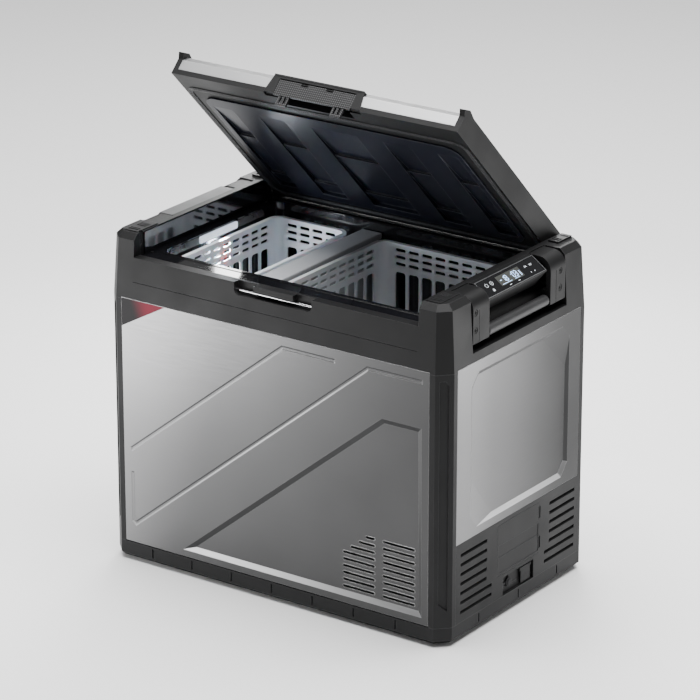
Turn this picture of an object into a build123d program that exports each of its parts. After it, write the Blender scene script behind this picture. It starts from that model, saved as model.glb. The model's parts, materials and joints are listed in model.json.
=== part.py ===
from build123d import *
import os
from math import radians, sqrt, tan

# Compressor cooler fridge, in millimetres.  +Z is up, the front faces -Y, the display is at the +X end,
# and the origin is on the floor at the middle of the footprint.  The lid stands half open.

# ---- driving dimensions: cabinet ----
BODY_W = 662.0            # width over the corner posts
BODY_D = 417.7            # depth over the front and rear panels
FOOT_H = 5.0              # feet below the base tray
BASE_H = 28.0             # height of the base tray
BASE_GAP = 1.6            # shadow gap between base tray and steel panels
PANEL_H = 425.4           # height of the front steel panel
UPPER_H = 107.0           # height of the upper frame above the panels
COLLAR_H = 69.0           # height of the collar that the lid closes on
DRAFT = 3.6               # degrees of inward lean of the upper frame
CORNER = 21.5             # leg of the 45 degree corner chamfer
POST_STRIP = 9.5          # flat strip of a corner post beside its chamfer
TOP_CHAMFER = 9.5         # 45 degree chamfer around the top of the upper frame
SHEET = 1.2               # steel panel thickness
WALL = 4.0                # moulded wall thickness
FIT = 0.3                 # gap between neighbouring moulded pieces
BORE_FIT = 0.05           # radial running clearance of pins

# ---- driving dimensions: opening, liner and machine compartment ----
CHANNEL_HALF = 275.5      # half width of the channel that the lid lies in
CHEEK = 2.5               # thickness of the glossy rim moulding
SIDE_LEDGE = 70.0         # cabinet side to liner opening
FRONT_LEDGE = 60.0        # front face to liner opening
REAR_LEDGE = 42.7         # liner opening to rear face
COLLAR_LIP = 22.0         # matt collar in front of the glossy rim
RIM_DROP = 2.0            # rim ledge below the collar
LINER_WALL = 2.5
LINER_R = 18.0            # corner radius of the liner
DEEP_FLOOR = 80.0         # height of the floor of the left zone
SHALLOW_FLOOR = 215.0     # height of the floor over the machine compartment
STEP_X = -44.0            # wall between the two zones
BAY_WALL_X = 30.0         # insulated wall of the machine compartment
BAY_TOP = 172.0           # ceiling of the machine compartment
VENT_PANEL_H = 135.0      # height of the plastic panel below the right steel panel

# ---- driving dimensions: lid and latch ----
LID_HALF = 274.0
LID_THICK = 38.7
LID_FRONT = 4.4           # lid front face behind the cabinet front
LID_GAP = 0.5             # lid underside above the collar
HINGE_BACK = 20.2         # hinge axis in front of the rear face
HINGE_UP = 15.5           # hinge axis above the lid underside
LID_OPEN = 45.0           # degrees, the modelled pose
RAIL = 9.5                # width of the lid's side rails
LATCH_HALF = 73.0
LATCH_H = 25.5            # latch pivot above the lid underside
LATCH_THICK = 4.0

# ---- derived places ----
RIGHT = BODY_W / 2
FRONT = -BODY_D / 2
REAR = BODY_D / 2
TRAY_TOP = FOOT_H + BASE_H
PANEL_Z = TRAY_TOP + BASE_GAP
BODY_Z = PANEL_Z + PANEL_H
COLLAR_Z = BODY_Z + COLLAR_H
TOP_Z = BODY_Z + UPPER_H
PANEL_X = RIGHT - CORNER - POST_STRIP
PANEL_Y = REAR - CORNER - POST_STRIP
RIM_Z = COLLAR_Z - RIM_DROP
SEAT_Z = RIM_Z - CHEEK
OPEN_X = RIGHT - SIDE_LEDGE
OPEN_FRONT = FRONT + FRONT_LEDGE
OPEN_REAR = REAR - REAR_LEDGE
LID_Z = COLLAR_Z + LID_GAP
LID_TOP = LID_Z + LID_THICK
LID_Y = FRONT + LID_FRONT
HINGE_Y = REAR - HINGE_BACK
HINGE_Z = LID_Z + HINGE_UP
VENT_TOP = TRAY_TOP + VENT_PANEL_H
FAR = BODY_W + BODY_D     # longer than anything, for cuts that run right through

AXES = {"x": ((0, 1, 0), (1, 0, 0)), "y": ((1, 0, 0), (0, -1, 0)), "z": ((1, 0, 0), (0, 0, 1))}
ALONG = {"x": Vector(1, 0, 0), "y": Vector(0, 1, 0), "z": Vector(0, 0, 1)}


# ---- shape helpers ----
def plane_at(axis, level):
    """Plane across an axis; its local X and Y are the two other axes in the order XYZ."""
    across, normal = AXES[axis]
    return Plane(origin=ALONG[axis] * level, x_dir=across, z_dir=normal)


def block(x, y, z):
    """Box between a low and a high value on each axis."""
    middle = Pos((x[0] + x[1]) / 2, (y[0] + y[1]) / 2, (z[0] + z[1]) / 2)
    return middle * Box(x[1] - x[0], y[1] - y[0], z[1] - z[0])


def both(low, high):
    """A span and its mirror image across the middle of the object."""
    return [(low, high), (-high, -low)]


def prism(axis, span, outline):
    """Closed outline drawn across an axis, extruded over a span of that axis."""
    face = plane_at(axis, span[0]) * Polygon(*outline)
    return extrude(face, span[1] - span[0], dir=ALONG[axis])


def soft_prism(axis, span, outline, radii):
    """Prism whose corners have their own radii."""
    wire = FilletPolyline(*outline, radius=radii, close=True)
    face = plane_at(axis, span[0]) * make_face(wire)
    return extrude(face, span[1] - span[0], dir=ALONG[axis])


def slab(axis, span, u, v, radius):
    """Rounded rectangle between u and v limits, extruded over a span of the axis."""
    sketch = Pos((u[0] + u[1]) / 2, (v[0] + v[1]) / 2) * RectangleRounded(u[1] - u[0], v[1] - v[0], radius)
    return extrude(plane_at(axis, span[0]) * sketch, span[1] - span[0], dir=ALONG[axis])


def rod(axis, span, centre, radius):
    """Round bar along an axis."""
    sketch = Pos(*centre) * Circle(radius)
    return extrude(plane_at(axis, span[0]) * sketch, span[1] - span[0], dir=ALONG[axis])


def tube(axis, span, centre, outer, inner):
    return rod(axis, span, centre, outer) - rod(axis, span, centre, inner)


def frustum(axis, levels, outlines):
    """Straight-sided solid between two outlines at two levels."""
    faces = [plane_at(axis, level) * Polygon(*outline) for level, outline in zip(levels, outlines)]
    return loft(faces, ruled=True)


def grown(outline, shifts):
    """Counter-clockwise outline with each edge moved outwards, by one value or one for each edge."""
    points = [Vector(*point) for point in outline]
    if not isinstance(shifts, (list, tuple)):
        shifts = [shifts] * len(points)
    result = []
    for index, here in enumerate(points):
        arriving = (here - points[index - 1]).normalized()
        leaving = (points[(index + 1) % len(points)] - here).normalized()
        turn = arriving.X * leaving.Y - arriving.Y * leaving.X
        before, after = shifts[index - 1], shifts[index]
        result.append(here + (leaving * before - arriving * after) * (-1 / turn))
    return [(point.X, point.Y) for point in result]


def ribbon(path, left, right):
    """Closed outline of a strip beside an open path, with mitred corners."""
    points = [Vector(*point) for point in path]
    steps = [(b - a).normalized() for a, b in zip(points, points[1:])]
    normals = [Vector(step.Y, -step.X) for step in steps]
    near = [normals[0]] + normals
    far = normals + [normals[-1]]
    mitres = [(a + b) * (1 / (1 + a.dot(b))) for a, b in zip(near, far)]
    ahead = [point + mitre * right for point, mitre in zip(points, mitres)]
    back = [point - mitre * left for point, mitre in zip(points, mitres)]
    return [(point.X, point.Y) for point in ahead + back[::-1]]


def pipe(points, radii, radius):
    """Round tube stock bent along a route of straight runs and arcs."""
    path = FilletPolyline(*points, radius=radii)
    start = Plane(origin=path @ 0, z_dir=path % 0)
    return sweep(start * Circle(radius), path=path)


def footprint(inset=0.0):
    """Outline of the cabinet seen from above, moved inwards."""
    x, y = RIGHT - inset, REAR - inset
    leg = CORNER - inset * (2 - sqrt(2))
    return [(x, leg - y), (x, y - leg), (x - leg, y), (leg - x, y),
            (-x, y - leg), (-x, leg - y), (leg - x, -y), (x - leg, -y)]


def lean(height):
    """Inset of the upper frame's face at a height above the floor."""
    return (height - BODY_Z) * tan(radians(DRAFT))


def mirrored(shape):
    return mirror(shape, about=Plane.YZ)


def joined(shapes):
    """One shape holding every solid of a list."""
    total = shapes[0]
    for shape in shapes[1:]:
        total = total + shape
    return total


def opened(shape):
    """Lid pieces are drawn closed and swung to the modelled pose about the hinge."""
    hinge = Pos(0, HINGE_Y, HINGE_Z)
    return hinge * Rot(-LID_OPEN, 0, 0) * hinge.inverse() * shape


# ---- base and posts ----
RIB_SLOT_W = 3.5
RIB_SLOT_DEPTH = 2.0
RIB_SLOT_PITCH_X = 80.4
RIB_SLOT_PITCH_Y = 115.0
BASE_CHAMFER = 6.5
LIP_INSET = 5.5
LIP_W = 3.0
LIP_H = 8.0
FOOT_SIZE = 36.0
POST_WALL = 3.5
POST_SEAM = 3.0
POST_TUCK = 6.0
TUCK_T = 1.8
GROOVE_HALF = 7.5
GROOVE_DEPTH = 3.0


def make_base_tray():
    body = frustum("z", (FOOT_H, FOOT_H + BASE_CHAMFER), (footprint(BASE_CHAMFER), footprint()))
    body += prism("z", (FOOT_H + BASE_CHAMFER, TRAY_TOP), footprint())
    body -= prism("z", (FOOT_H + WALL, TRAY_TOP + 1), footprint(LIP_INSET + LIP_W))
    lip = prism("z", (TRAY_TOP, TRAY_TOP + LIP_H), footprint(LIP_INSET))
    body += lip - prism("z", (TRAY_TOP, TRAY_TOP + LIP_H), footprint(LIP_INSET + LIP_W))
    slot_z = (FOOT_H + 9, TRAY_TOP - 3)
    for index in range(-3, 4):
        x = index * RIB_SLOT_PITCH_X - 3
        span = (x - RIB_SLOT_W / 2, x + RIB_SLOT_W / 2)
        body -= block(span, (FRONT - 1, FRONT + RIB_SLOT_DEPTH), slot_z)
        body -= block(span, (REAR - RIB_SLOT_DEPTH, REAR + 1), slot_z)
    for index in range(-1, 2):
        y = index * RIB_SLOT_PITCH_Y + 4
        for side in both(RIGHT - RIB_SLOT_DEPTH, RIGHT + 1):
            body -= block(side, (y - RIB_SLOT_W / 2, y + RIB_SLOT_W / 2), slot_z)
    return body


def make_rubber_feet():
    feet = []
    for x in (RIGHT - 60, 60 - RIGHT):
        for y in (FRONT + 34, REAR - 34):
            half = FOOT_SIZE / 2
            feet.append(slab("z", (0, FOOT_H), (x - half, x + half), (y - half, y + half), 6))
    return joined(feet)


def make_corner_post():
    """Front right post; the others are mirror images."""
    path = [(PANEL_X, FRONT), (RIGHT - CORNER, FRONT), (RIGHT, FRONT + CORNER), (RIGHT, -PANEL_Y)]
    span = (TRAY_TOP, BODY_Z - POST_SEAM)
    post = prism("z", span, ribbon(path, POST_WALL, 0))
    above_lip = (TRAY_TOP + LIP_H + FIT, span[1])
    post += prism("z", above_lip, ribbon(path[1:3], POST_WALL + GROOVE_DEPTH, 0))
    near, deep = FLANGE + 0.2, FLANGE + 0.2 + TUCK_T
    post += block((PANEL_X, PANEL_X + TUCK_T), (FRONT, FRONT + deep), above_lip)
    post += block((PANEL_X - POST_TUCK, PANEL_X + TUCK_T), (FRONT + near, FRONT + deep), above_lip)
    post += block((RIGHT - deep, RIGHT), (-PANEL_Y - TUCK_T, -PANEL_Y), above_lip)
    post += block((RIGHT - deep, RIGHT - near), (-PANEL_Y - TUCK_T, POST_TUCK - PANEL_Y), above_lip)
    face = Plane(origin=(RIGHT - CORNER / 2, FRONT + CORNER / 2, 0), x_dir=(1, 1, 0), z_dir=(1, -1, 0))
    low, high = TRAY_TOP + 28, BODY_Z - 14
    half = GROOVE_HALF
    groove = [(-half, low + 12), (half, low), (half, high - 8), (half - 5, high), (-half, high)]
    depth = (ALONG["x"] - ALONG["y"]).normalized()
    cut = extrude(face * Polygon(*groove), GROOVE_DEPTH, dir=-depth)
    return post - cut


# ---- steel panels ----
EMBOSS_DEPTH = 4.0
EMBOSS_BEVEL = 8.5
GROOVE_W = 7.5
GROOVE_SINK = 1.1
FLANGE = 5.0
PANEL_GAP = 0.4
VENT_PITCH = 11.7
VENT_H = 4.2
VENT_ROWS = 9
VENT_FIRST = 121.5         # height of the uppermost slot above the panel's lower edge
LABEL_W = 87.0
LABEL_H = 48.0
LABEL_T = 0.5


def steel_sheet(width, height):
    """Flat sheet with returned edges, drawn facing -Y with its top right corner at the origin."""
    outer = slab("y", (0, FLANGE), (-width + PANEL_GAP, -PANEL_GAP), (-height, -PANEL_GAP), 1.0)
    inner = block((-width + PANEL_GAP + SHEET, -PANEL_GAP - SHEET), (SHEET, FLANGE + 1),
                  (-height + SHEET, -PANEL_GAP - SHEET))
    sheet = outer - inner
    front_edges = [edge for edge in sheet.edges() if abs(edge.center().Y) < 0.01]
    return fillet(front_edges, 0.5)


def sunken(sheet, outline, bevels, depth):
    """Area pressed into a sheet that faces -Y, with a bevel along each edge."""
    inset = [-bevel for bevel in bevels]
    floor = grown(outline, inset)
    back = frustum("y", (SHEET / 2, depth + SHEET), (grown(outline, SHEET), grown(floor, SHEET / 2)))
    return sheet + back - frustum("y", (0, depth), (outline, floor))


def creased(sheet, path):
    """Shallow line pressed into a sheet that faces -Y."""
    half = GROOVE_W / 2
    mouth = ribbon(path, half, half)
    back = prism("y", (SHEET / 2, SHEET + GROOVE_SINK), ribbon(path, half + 1, half + 1))
    floor = grown(mouth, 1.2 - half)
    return sheet + back - frustum("y", (0, GROOVE_SINK), (mouth, floor))


def vent_slots():
    """Spans of the vent slots of the front panel, from its top right corner."""
    left_ends = [-121, -134.6, -150] + [-164.7] * (VENT_ROWS - 3)
    slots = []
    for row, left in enumerate(left_ends):
        height = VENT_FIRST - PANEL_H - row * VENT_PITCH
        slots.append(((-88.5, -28), height))
        slots.append(((left, -104), height))
    return slots


def make_front_panel():
    width = 2 * PANEL_X
    sheet = steel_sheet(width, PANEL_H)
    left, low = -width, -PANEL_H
    main = [(left + 118.7, low + 11.8), (-12.3, low + 11.8), (-14.3, -95.5), (-88.9, -95.5)]
    sheet = sunken(sheet, main, [EMBOSS_BEVEL] * 4, EMBOSS_DEPTH)
    sheet = creased(sheet, [(left + 14.3, -262), (left + 320.5, -19.5), (left + 423, -20)])
    sheet = creased(sheet, [(left + 17, -300), (left + 17, low + 38), (left + 22, low + 34),
                            (-116, -18.6), (-12.7, -18.6)])
    for span, height in vent_slots():
        rim = (span[0] - 0.8, span[1] + 0.8)
        floor = EMBOSS_DEPTH
        sheet += slab("y", (floor - 0.7, floor + 0.5), rim, (height - 2.9, height + 2.9), 2.85)
        sheet -= slab("y", (floor - 2, floor + 4), span, (height - VENT_H / 2, height + VENT_H / 2), 2.05)
    panel = Pos(PANEL_X, FRONT, BODY_Z) * sheet
    return panel - label_outline((FRONT - 1, FRONT + LABEL_T))


def label_outline(span):
    x, z = -PANEL_X + 1, BODY_Z - PANEL_GAP - 1
    return prism("y", span, [(x, z), (x, z - LABEL_H), (x + LABEL_W, z)])


def make_rear_panel():
    """Drawn like the front panel and turned round, so its left end is the machine end."""
    sheet = steel_sheet(2 * PANEL_X, PANEL_H)
    left, low = -2 * PANEL_X, -PANEL_H
    frame = [(left + 60, low + 40), (-80, low + 40), (-60, low + 60),
             (-60, -40), (left + 80, -40), (left + 60, -60)]
    sheet = sunken(sheet, frame, [EMBOSS_BEVEL] * 6, EMBOSS_DEPTH)
    for row in range(VENT_ROWS):
        height = low + 68 + row * VENT_PITCH
        slot = (height - VENT_H / 2, height + VENT_H / 2)
        sheet -= slab("y", (EMBOSS_DEPTH - 2, EMBOSS_DEPTH + 4), (left + 90, left + 230), slot, 2.05)
    return Rot(0, 0, 180) * Pos(PANEL_X, FRONT, BODY_Z) * sheet


def side_sheet(height):
    """Sheet for a cabinet end, drawn facing -Y: the front of the cabinet is on its left."""
    width = 2 * PANEL_Y
    sheet = steel_sheet(width, height)
    left, low = -width, -height
    frame = [(left + 56.7, low + 14), (-52, low + 14), (-33.5, low + 36),
             (-33.5, -38), (-54, -18.5), (left + 59.4, -18.5), (left + 39, -41), (left + 39, low + 36)]
    bevels = [7.5, 7.5, 7.5, 42, 7.5, 7.5, 7.5, 42]
    return sunken(sheet, frame, bevels, EMBOSS_DEPTH)


def make_right_panel():
    sheet = side_sheet(BODY_Z - VENT_TOP)
    return Rot(0, 0, 90) * Pos(PANEL_Y, -RIGHT, BODY_Z) * sheet


def make_left_panel():
    sheet = mirrored(side_sheet(PANEL_H))
    return Rot(0, 0, -90) * Pos(-PANEL_Y, -RIGHT, BODY_Z) * sheet


def make_corner_label():
    return label_outline((FRONT, FRONT + LABEL_T))


# ---- vent panel, service door and sockets ----
VENT_T = 3.0
LOUVRE_BACK = 6.0
LOUVRE_ROWS = 7
LOUVRE_UPPER_ROWS = 5
LOUVRE_PITCH = 16.2
LOUVRE_COLUMNS = (((44.5, 119.5), (44.5, 134.0)), ((302.0, 377.7), (288.5, 377.7)))
LOUVRE_PADS = ((39.0, 137.0), (285.5, 379.5))
DOOR_Y = (150.0, 269.0)       # from the front face
DOOR_TOP_GAP = 7.5            # below the vent panel's top edge
DOOR_H = 88.0
DOOR_GAP = 0.5
DOOR_R = 5.5                  # corners at the free edge; the hinged edge is square
DOOR_AXIS_IN = 2.8            # hinge axis inside the outer face
DOOR_AXIS_Y = 3.2             # hinge axis behind the door plate
PIN_R = 1.0
KNUCKLE_R = 2.4
DOOR_EDGE_R = 4.15            # hollow in the door's hinged edge, so that it swings clear
SOCKET_Y = (166.8, 256.5)
SOCKET_H = 32.5
SOCKET_DEPTH = 6.0
FLAP_Y = (222.5, 249.5)
FLAP_H = 26.5
FLAP_T = 3.0
FLAP_PIN_R = 0.7
SOCKET_Z = TRAY_TOP + 1
FLAP_AXIS_X = RIGHT - SOCKET_DEPTH + FLAP_T / 2 + 1.0
FLAP_AXIS_Z = SOCKET_Z + 27.5
DOOR_Z = (VENT_TOP - DOOR_TOP_GAP - DOOR_H, VENT_TOP - DOOR_TOP_GAP)
DOOR_AXIS = (RIGHT - DOOR_AXIS_IN, FRONT + DOOR_Y[1] + DOOR_AXIS_Y)
KNUCKLES = ((DOOR_Z[0] + 8, DOOR_Z[0] + 28), (DOOR_Z[1] - 28, DOOR_Z[1] - 8))
DC_CENTRE = (FRONT + 190, SOCKET_Z + 16)


def from_front(span):
    return (FRONT + span[0], FRONT + span[1])


def louvre(y, z):
    """Slot that slopes upwards as it goes in."""
    outline = [(RIGHT + 1, z - 3.6), (RIGHT + 1, z + 2.6), (RIGHT - 7, z + 7.4), (RIGHT - 7, z + 1.2)]
    return prism("y", y, outline)


def make_vent_panel():
    y_span = (-PANEL_Y + PANEL_GAP, PANEL_Y - PANEL_GAP)
    panel = block((RIGHT - VENT_T, RIGHT), y_span, (TRAY_TOP, VENT_TOP))
    back_x = (RIGHT - LOUVRE_BACK, RIGHT - 1)
    for pad in LOUVRE_PADS:
        panel += block(back_x, from_front(pad), (TRAY_TOP + LIP_H + 0.5, VENT_TOP - 8))
    door_frame = (FRONT + DOOR_Y[0] - 5, DOOR_AXIS[1] + 5)
    panel += block(back_x, door_frame, (DOOR_Z[0] - 5, DOOR_Z[1] + 4))
    for upper, lower in LOUVRE_COLUMNS:
        for row in range(LOUVRE_ROWS):
            span = upper if row < LOUVRE_UPPER_ROWS else lower
            panel -= louvre(from_front(span), VENT_TOP - 21 - row * LOUVRE_PITCH)
    opening = (FRONT + DOOR_Y[0] - DOOR_GAP, FRONT + DOOR_Y[1] + DOOR_GAP)
    through = (RIGHT - VENT_T - DOOR_GAP, RIGHT + 1)
    opening_z = (DOOR_Z[0] - DOOR_GAP, DOOR_Z[1] + DOOR_GAP)
    panel -= slab("x", through, opening, opening_z, DOOR_R + DOOR_GAP)
    panel -= block(through, (opening[1] - 2 * DOOR_R, opening[1]), opening_z)
    panel -= block((RIGHT - 10, RIGHT), (opening[0] + 5, opening[1] - 5), (DOOR_Z[0] + 5, DOOR_Z[1] - 5))
    for low, high in KNUCKLES:
        slot_y = (DOOR_AXIS[1] - 8, DOOR_AXIS[1] + 3.4)
        panel -= block((RIGHT - 10, RIGHT + 1), slot_y, (low - FIT, high + FIT))
    panel -= rod("z", (DOOR_Z[0] + 2, DOOR_Z[1] - 2), DOOR_AXIS, PIN_R)
    socket_y = from_front(SOCKET_Y)
    socket_z = (SOCKET_Z, SOCKET_Z + SOCKET_H)
    panel += block((RIGHT - SOCKET_DEPTH - 2.5, RIGHT - 1), (socket_y[0] - 2.5, socket_y[1] + 2.5),
                   (TRAY_TOP + LIP_H + 0.5, socket_z[1] + 2.5))
    panel -= block((RIGHT - SOCKET_DEPTH, RIGHT + 1), socket_y, (socket_z[0] + 10.5, socket_z[1]))
    panel -= block((RIGHT - LIP_INSET + 0.1, RIGHT + 1), socket_y, socket_z)
    flap_y = from_front(FLAP_Y)
    for low, high in ((flap_y[0] - 2.9, flap_y[0] - FIT), (flap_y[1] + FIT, flap_y[1] + 2.9)):
        panel += block((RIGHT - SOCKET_DEPTH, FLAP_AXIS_X + 1.6), (low, high),
                       (FLAP_AXIS_Z - 3, FLAP_AXIS_Z + 1.6))
    panel -= rod("y", (flap_y[0] - 2.2, flap_y[1] + 2.2), (FLAP_AXIS_X, FLAP_AXIS_Z), FLAP_PIN_R)
    inlet_x = (RIGHT - 20, RIGHT)
    panel -= rod("x", inlet_x, DC_CENTRE, 8.0)
    panel -= slab("x", inlet_x, (flap_y[0] + 3, flap_y[1] - 3), (SOCKET_Z + 12.5, FLAP_AXIS_Z - 3.5), 2)
    return panel


def make_service_door():
    y = from_front(DOOR_Y)
    door = slab("x", (RIGHT - VENT_T, RIGHT), y, DOOR_Z, DOOR_R)
    door += block((RIGHT - VENT_T, RIGHT), (y[1] - 2 * DOOR_R, y[1]), DOOR_Z)
    step_z = DOOR_Z[1] - 36
    door -= block((RIGHT - 0.6, RIGHT + 1), (y[0] + 3, y[1] + 1), (DOOR_Z[0] + 4, step_z))
    door += block((RIGHT - 1, RIGHT - 0.2), (y[0] + 3, y[1]), (step_z - 21, step_z - 20))
    door -= rod("z", DOOR_Z, DOOR_AXIS, DOOR_EDGE_R)
    arm_x = (DOOR_AXIS[0] - 1.8, DOOR_AXIS[0] + 1.4)
    for low, high in KNUCKLES:
        door += block(arm_x, (y[1] - 4, DOOR_AXIS[1]), (low, high))
        door += rod("z", (low, high), DOOR_AXIS, KNUCKLE_R)
    return door - rod("z", DOOR_Z, DOOR_AXIS, PIN_R + BORE_FIT)


def make_ac_socket_cover():
    y = from_front(FLAP_Y)
    half = FLAP_T / 2
    low = FLAP_AXIS_Z - FLAP_H + half
    flap = block((FLAP_AXIS_X - half, FLAP_AXIS_X + half), y, (low, FLAP_AXIS_Z))
    flap += rod("y", y, (FLAP_AXIS_X, FLAP_AXIS_Z), half)
    return flap - rod("y", (y[0] - 1, y[1] + 1), (FLAP_AXIS_X, FLAP_AXIS_Z), FLAP_PIN_R + BORE_FIT)


def make_cover_pins():
    flap_y = from_front(FLAP_Y)
    door_pin = rod("z", (DOOR_Z[0] + 2, DOOR_Z[1] - 2), DOOR_AXIS, PIN_R)
    return door_pin + rod("y", (flap_y[0] - 2.2, flap_y[1] + 2.2), (FLAP_AXIS_X, FLAP_AXIS_Z), FLAP_PIN_R)


def make_dc_inlet():
    floor = RIGHT - SOCKET_DEPTH
    body = rod("x", (RIGHT - 26, floor + 2), DC_CENTRE, 8.0)
    body -= rod("x", (RIGHT - 22, RIGHT), DC_CENTRE, 6.2)
    return body + rod("x", (RIGHT - 23, floor - 2), DC_CENTRE, 1.0)


def make_ac_inlet():
    y = (FRONT + FLAP_Y[0] + 3, FRONT + FLAP_Y[1] - 3)
    z = (SOCKET_Z + 12.5, FLAP_AXIS_Z - 3.5)
    face = RIGHT - SOCKET_DEPTH
    body = slab("x", (RIGHT - 30, face), y, z, 2)
    body -= slab("x", (RIGHT - 26, RIGHT), (y[0] + 2, y[1] - 2), (z[0] + 2, z[1] - 2), 1.5)
    middle = ((y[0] + y[1]) / 2, (z[0] + z[1]) / 2)
    for offset in (-4.5, 4.5):
        body += rod("x", (RIGHT - 27, face - 3), (middle[0] + offset, middle[1]), 1.2)
    return body


# ---- upper frame, rim, keeper ----
GRIP_Y = (74.0, 344.0)        # handle recess, from the front face
GRIP_FLOOR = 14.5             # above the panels
GRIP_WALL_X = RIGHT - 43.0    # back wall of the handle recess
STRAPS_Y = ((77.0, 122.0), (298.0, 341.0))
SEAMS_Y = (94.0, 314.0)
STRAP_X = RIGHT - 3.0
STRAP_TOP = TOP_Z - 1.5
STRAP_IN = 43.0
STRAP_T = 9.0
BAR_CENTRE = (RIGHT - 12.0, BODY_Z + 35.0)
BAR_R = 6.0
GRIP_R = 9.25
GRIP_END_GAP = 2.0            # between grip and strap
SCREW_R = 5.75
SCREWS = ((84.0, 49.0), (84.0, 77.6), (326.0, 48.9), (326.0, 77.7))
KEEPER_HALF = 75.0
KEEPER_H = 20.0
KEEPER_DEPTH = 17.0
KEEPER_BAR_R = 2.0
KEEPER_BAR = (FRONT + 12.4, COLLAR_Z - 14.0)
PIN_X = (262.0, 290.0)
HINGE_PIN_R = 3.0
SLOT_Y = 25.7
BEAD_H = 0.9                  # bead around the liner opening


def screw_places():
    """Centres of the strap screws in Y and Z."""
    return [(FRONT + y, BODY_Z + z) for y, z in SCREWS]


def make_upper_frame():
    shoulder = TOP_Z - TOP_CHAMFER
    base = BODY_Z - POST_SEAM
    body = frustum("z", (base, shoulder), (footprint(), footprint(lean(shoulder))))
    edge = lean(shoulder)
    body += frustum("z", (shoulder, TOP_Z), (footprint(edge), footprint(edge + TOP_CHAMFER)))
    body += top_pads()
    body -= block((-PANEL_X, PANEL_X), (-FAR, FAR), (base - 1, BODY_Z))
    body -= block((-FAR, FAR), (-PANEL_Y, PANEL_Y), (base - 1, BODY_Z))
    body -= frame_cavity()
    body -= slab("z", (base - 1, TOP_Z), (-OPEN_X - LINER_WALL, OPEN_X + LINER_WALL),
                 (OPEN_FRONT - LINER_WALL, OPEN_REAR + LINER_WALL), LINER_R + LINER_WALL)
    body -= block((-CHANNEL_HALF, CHANNEL_HALF), (-FAR, FAR), (COLLAR_Z, FAR))
    body -= rim_pocket()
    body -= gasket_outline((COLLAR_Z - GASKET_SINK, COLLAR_Z + 1), 0, 0.6)
    body -= keeper_recess()
    for side in both(GRIP_WALL_X, FAR):
        body -= block(side, from_front(GRIP_Y), (BODY_Z + GRIP_FLOOR, FAR))
    for x in both(RIGHT - STRAP_IN - 3.3, GRIP_WALL_X + 1):
        for low, high in STRAPS_Y:
            body -= block(x, from_front((low - FIT, high + FIT)), (STRAP_TOP - STRAP_T - FIT, FAR))
    for x in both(PIN_X[0], PIN_X[1]):
        body -= rod("x", x, (HINGE_Y, HINGE_Z), HINGE_PIN_R)
    for x in both(GRIP_WALL_X - 5, GRIP_WALL_X + 1):
        for centre in screw_places():
            body -= rod("x", x, centre, 2.5)
    for x in both(CHANNEL_HALF - 1, CHANNEL_HALF + 3.5):
        y = FRONT + SLOT_Y
        body -= rod("x", x, (y, BODY_Z + 89), 4.3) + block(x, (y - 4.3, y + 4.3), (BODY_Z + 89, FAR))
    body -= block((-CHANNEL_HALF, CHANNEL_HALF), (FRONT - 1, FRONT + 3), (BODY_Z + 28, BODY_Z + 29.2))
    return body


def top_pads():
    """Low raised pads on the four corner blocks."""
    pads = []
    for x in both(RIGHT - 48, RIGHT - 29):
        pads.append(block(x, (REAR - 58, REAR - 18), (TOP_Z - 2, TOP_Z + 3.5)))
    for x in both(RIGHT - 53, RIGHT - 25):
        pads.append(block(x, (FRONT + 19, FRONT + 72), (TOP_Z - 2, TOP_Z + 2)))
    return joined(pads)


def frame_cavity():
    """Hollow under the frame, which the insulation fills from below."""
    low, high = BODY_Z - 10, TOP_Z - 14
    hollow = frustum("z", (low, high), (footprint(WALL), footprint(WALL + lean(high))))
    deck = SEAT_Z - WALL
    hollow -= block((-CHANNEL_HALF - CHEEK - WALL, CHANNEL_HALF + CHEEK + WALL), (-FAR, FAR), (deck, FAR))
    for side in both(GRIP_WALL_X - WALL, FAR):
        grip_y = (GRIP_Y[0] - WALL, GRIP_Y[1] + WALL)
        hollow -= block(side, from_front(grip_y), (BODY_Z + GRIP_FLOOR - WALL, FAR))
    for x in both(CHANNEL_HALF - 1, PIN_X[1] + 3):
        hollow -= block(x, (HINGE_Y - 10, REAR), (HINGE_Z - 10, HINGE_Z + 10))
    half = KEEPER_HALF + WALL
    hollow -= block((-half, half), (FRONT - 1, FRONT + KEEPER_DEPTH + WALL),
                    (COLLAR_Z - KEEPER_H - WALL, FAR))
    return hollow


def rim_pocket():
    """Seat of the glossy rim moulding in the frame."""
    half = CHANNEL_HALF + CHEEK
    return block((-half, half), (FRONT + COLLAR_LIP, HINGE_Y - 18), (SEAT_Z, TOP_Z - 2))


def keeper_recess():
    z = (COLLAR_Z - KEEPER_H, FAR)
    recess = slab("y", (FRONT - 1, FRONT + KEEPER_DEPTH), (-KEEPER_HALF, KEEPER_HALF), z, 9)
    return recess + rod("x", (-KEEPER_HALF - 3, KEEPER_HALF + 3), KEEPER_BAR, KEEPER_BAR_R)


def make_rim_bezel():
    half = CHANNEL_HALF + CHEEK
    y = (FRONT + COLLAR_LIP + FIT, HINGE_Y - 18 - FIT)
    bezel = block((-half, half), y, (SEAT_Z, RIM_Z))
    for side in both(CHANNEL_HALF, half):
        bezel += block(side, (y[0] + 12, y[1]), (SEAT_Z, TOP_Z - 2.5))
    bezel += slab("z", (RIM_Z - 1, RIM_Z + BEAD_H), (-OPEN_X - 9, OPEN_X + 9),
                  (OPEN_FRONT - 9, OPEN_REAR + 3.8), LINER_R + 9)
    bezel -= slab("z", (RIM_Z, RIM_Z + 3), (-OPEN_X - 4, OPEN_X + 4),
                  (OPEN_FRONT - 4, OPEN_REAR + 1.8), LINER_R + 4)
    bezel -= slab("z", (SEAT_Z - 1, RIM_Z + 3), (-OPEN_X, OPEN_X), (OPEN_FRONT, OPEN_REAR), LINER_R)
    return bezel


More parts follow.
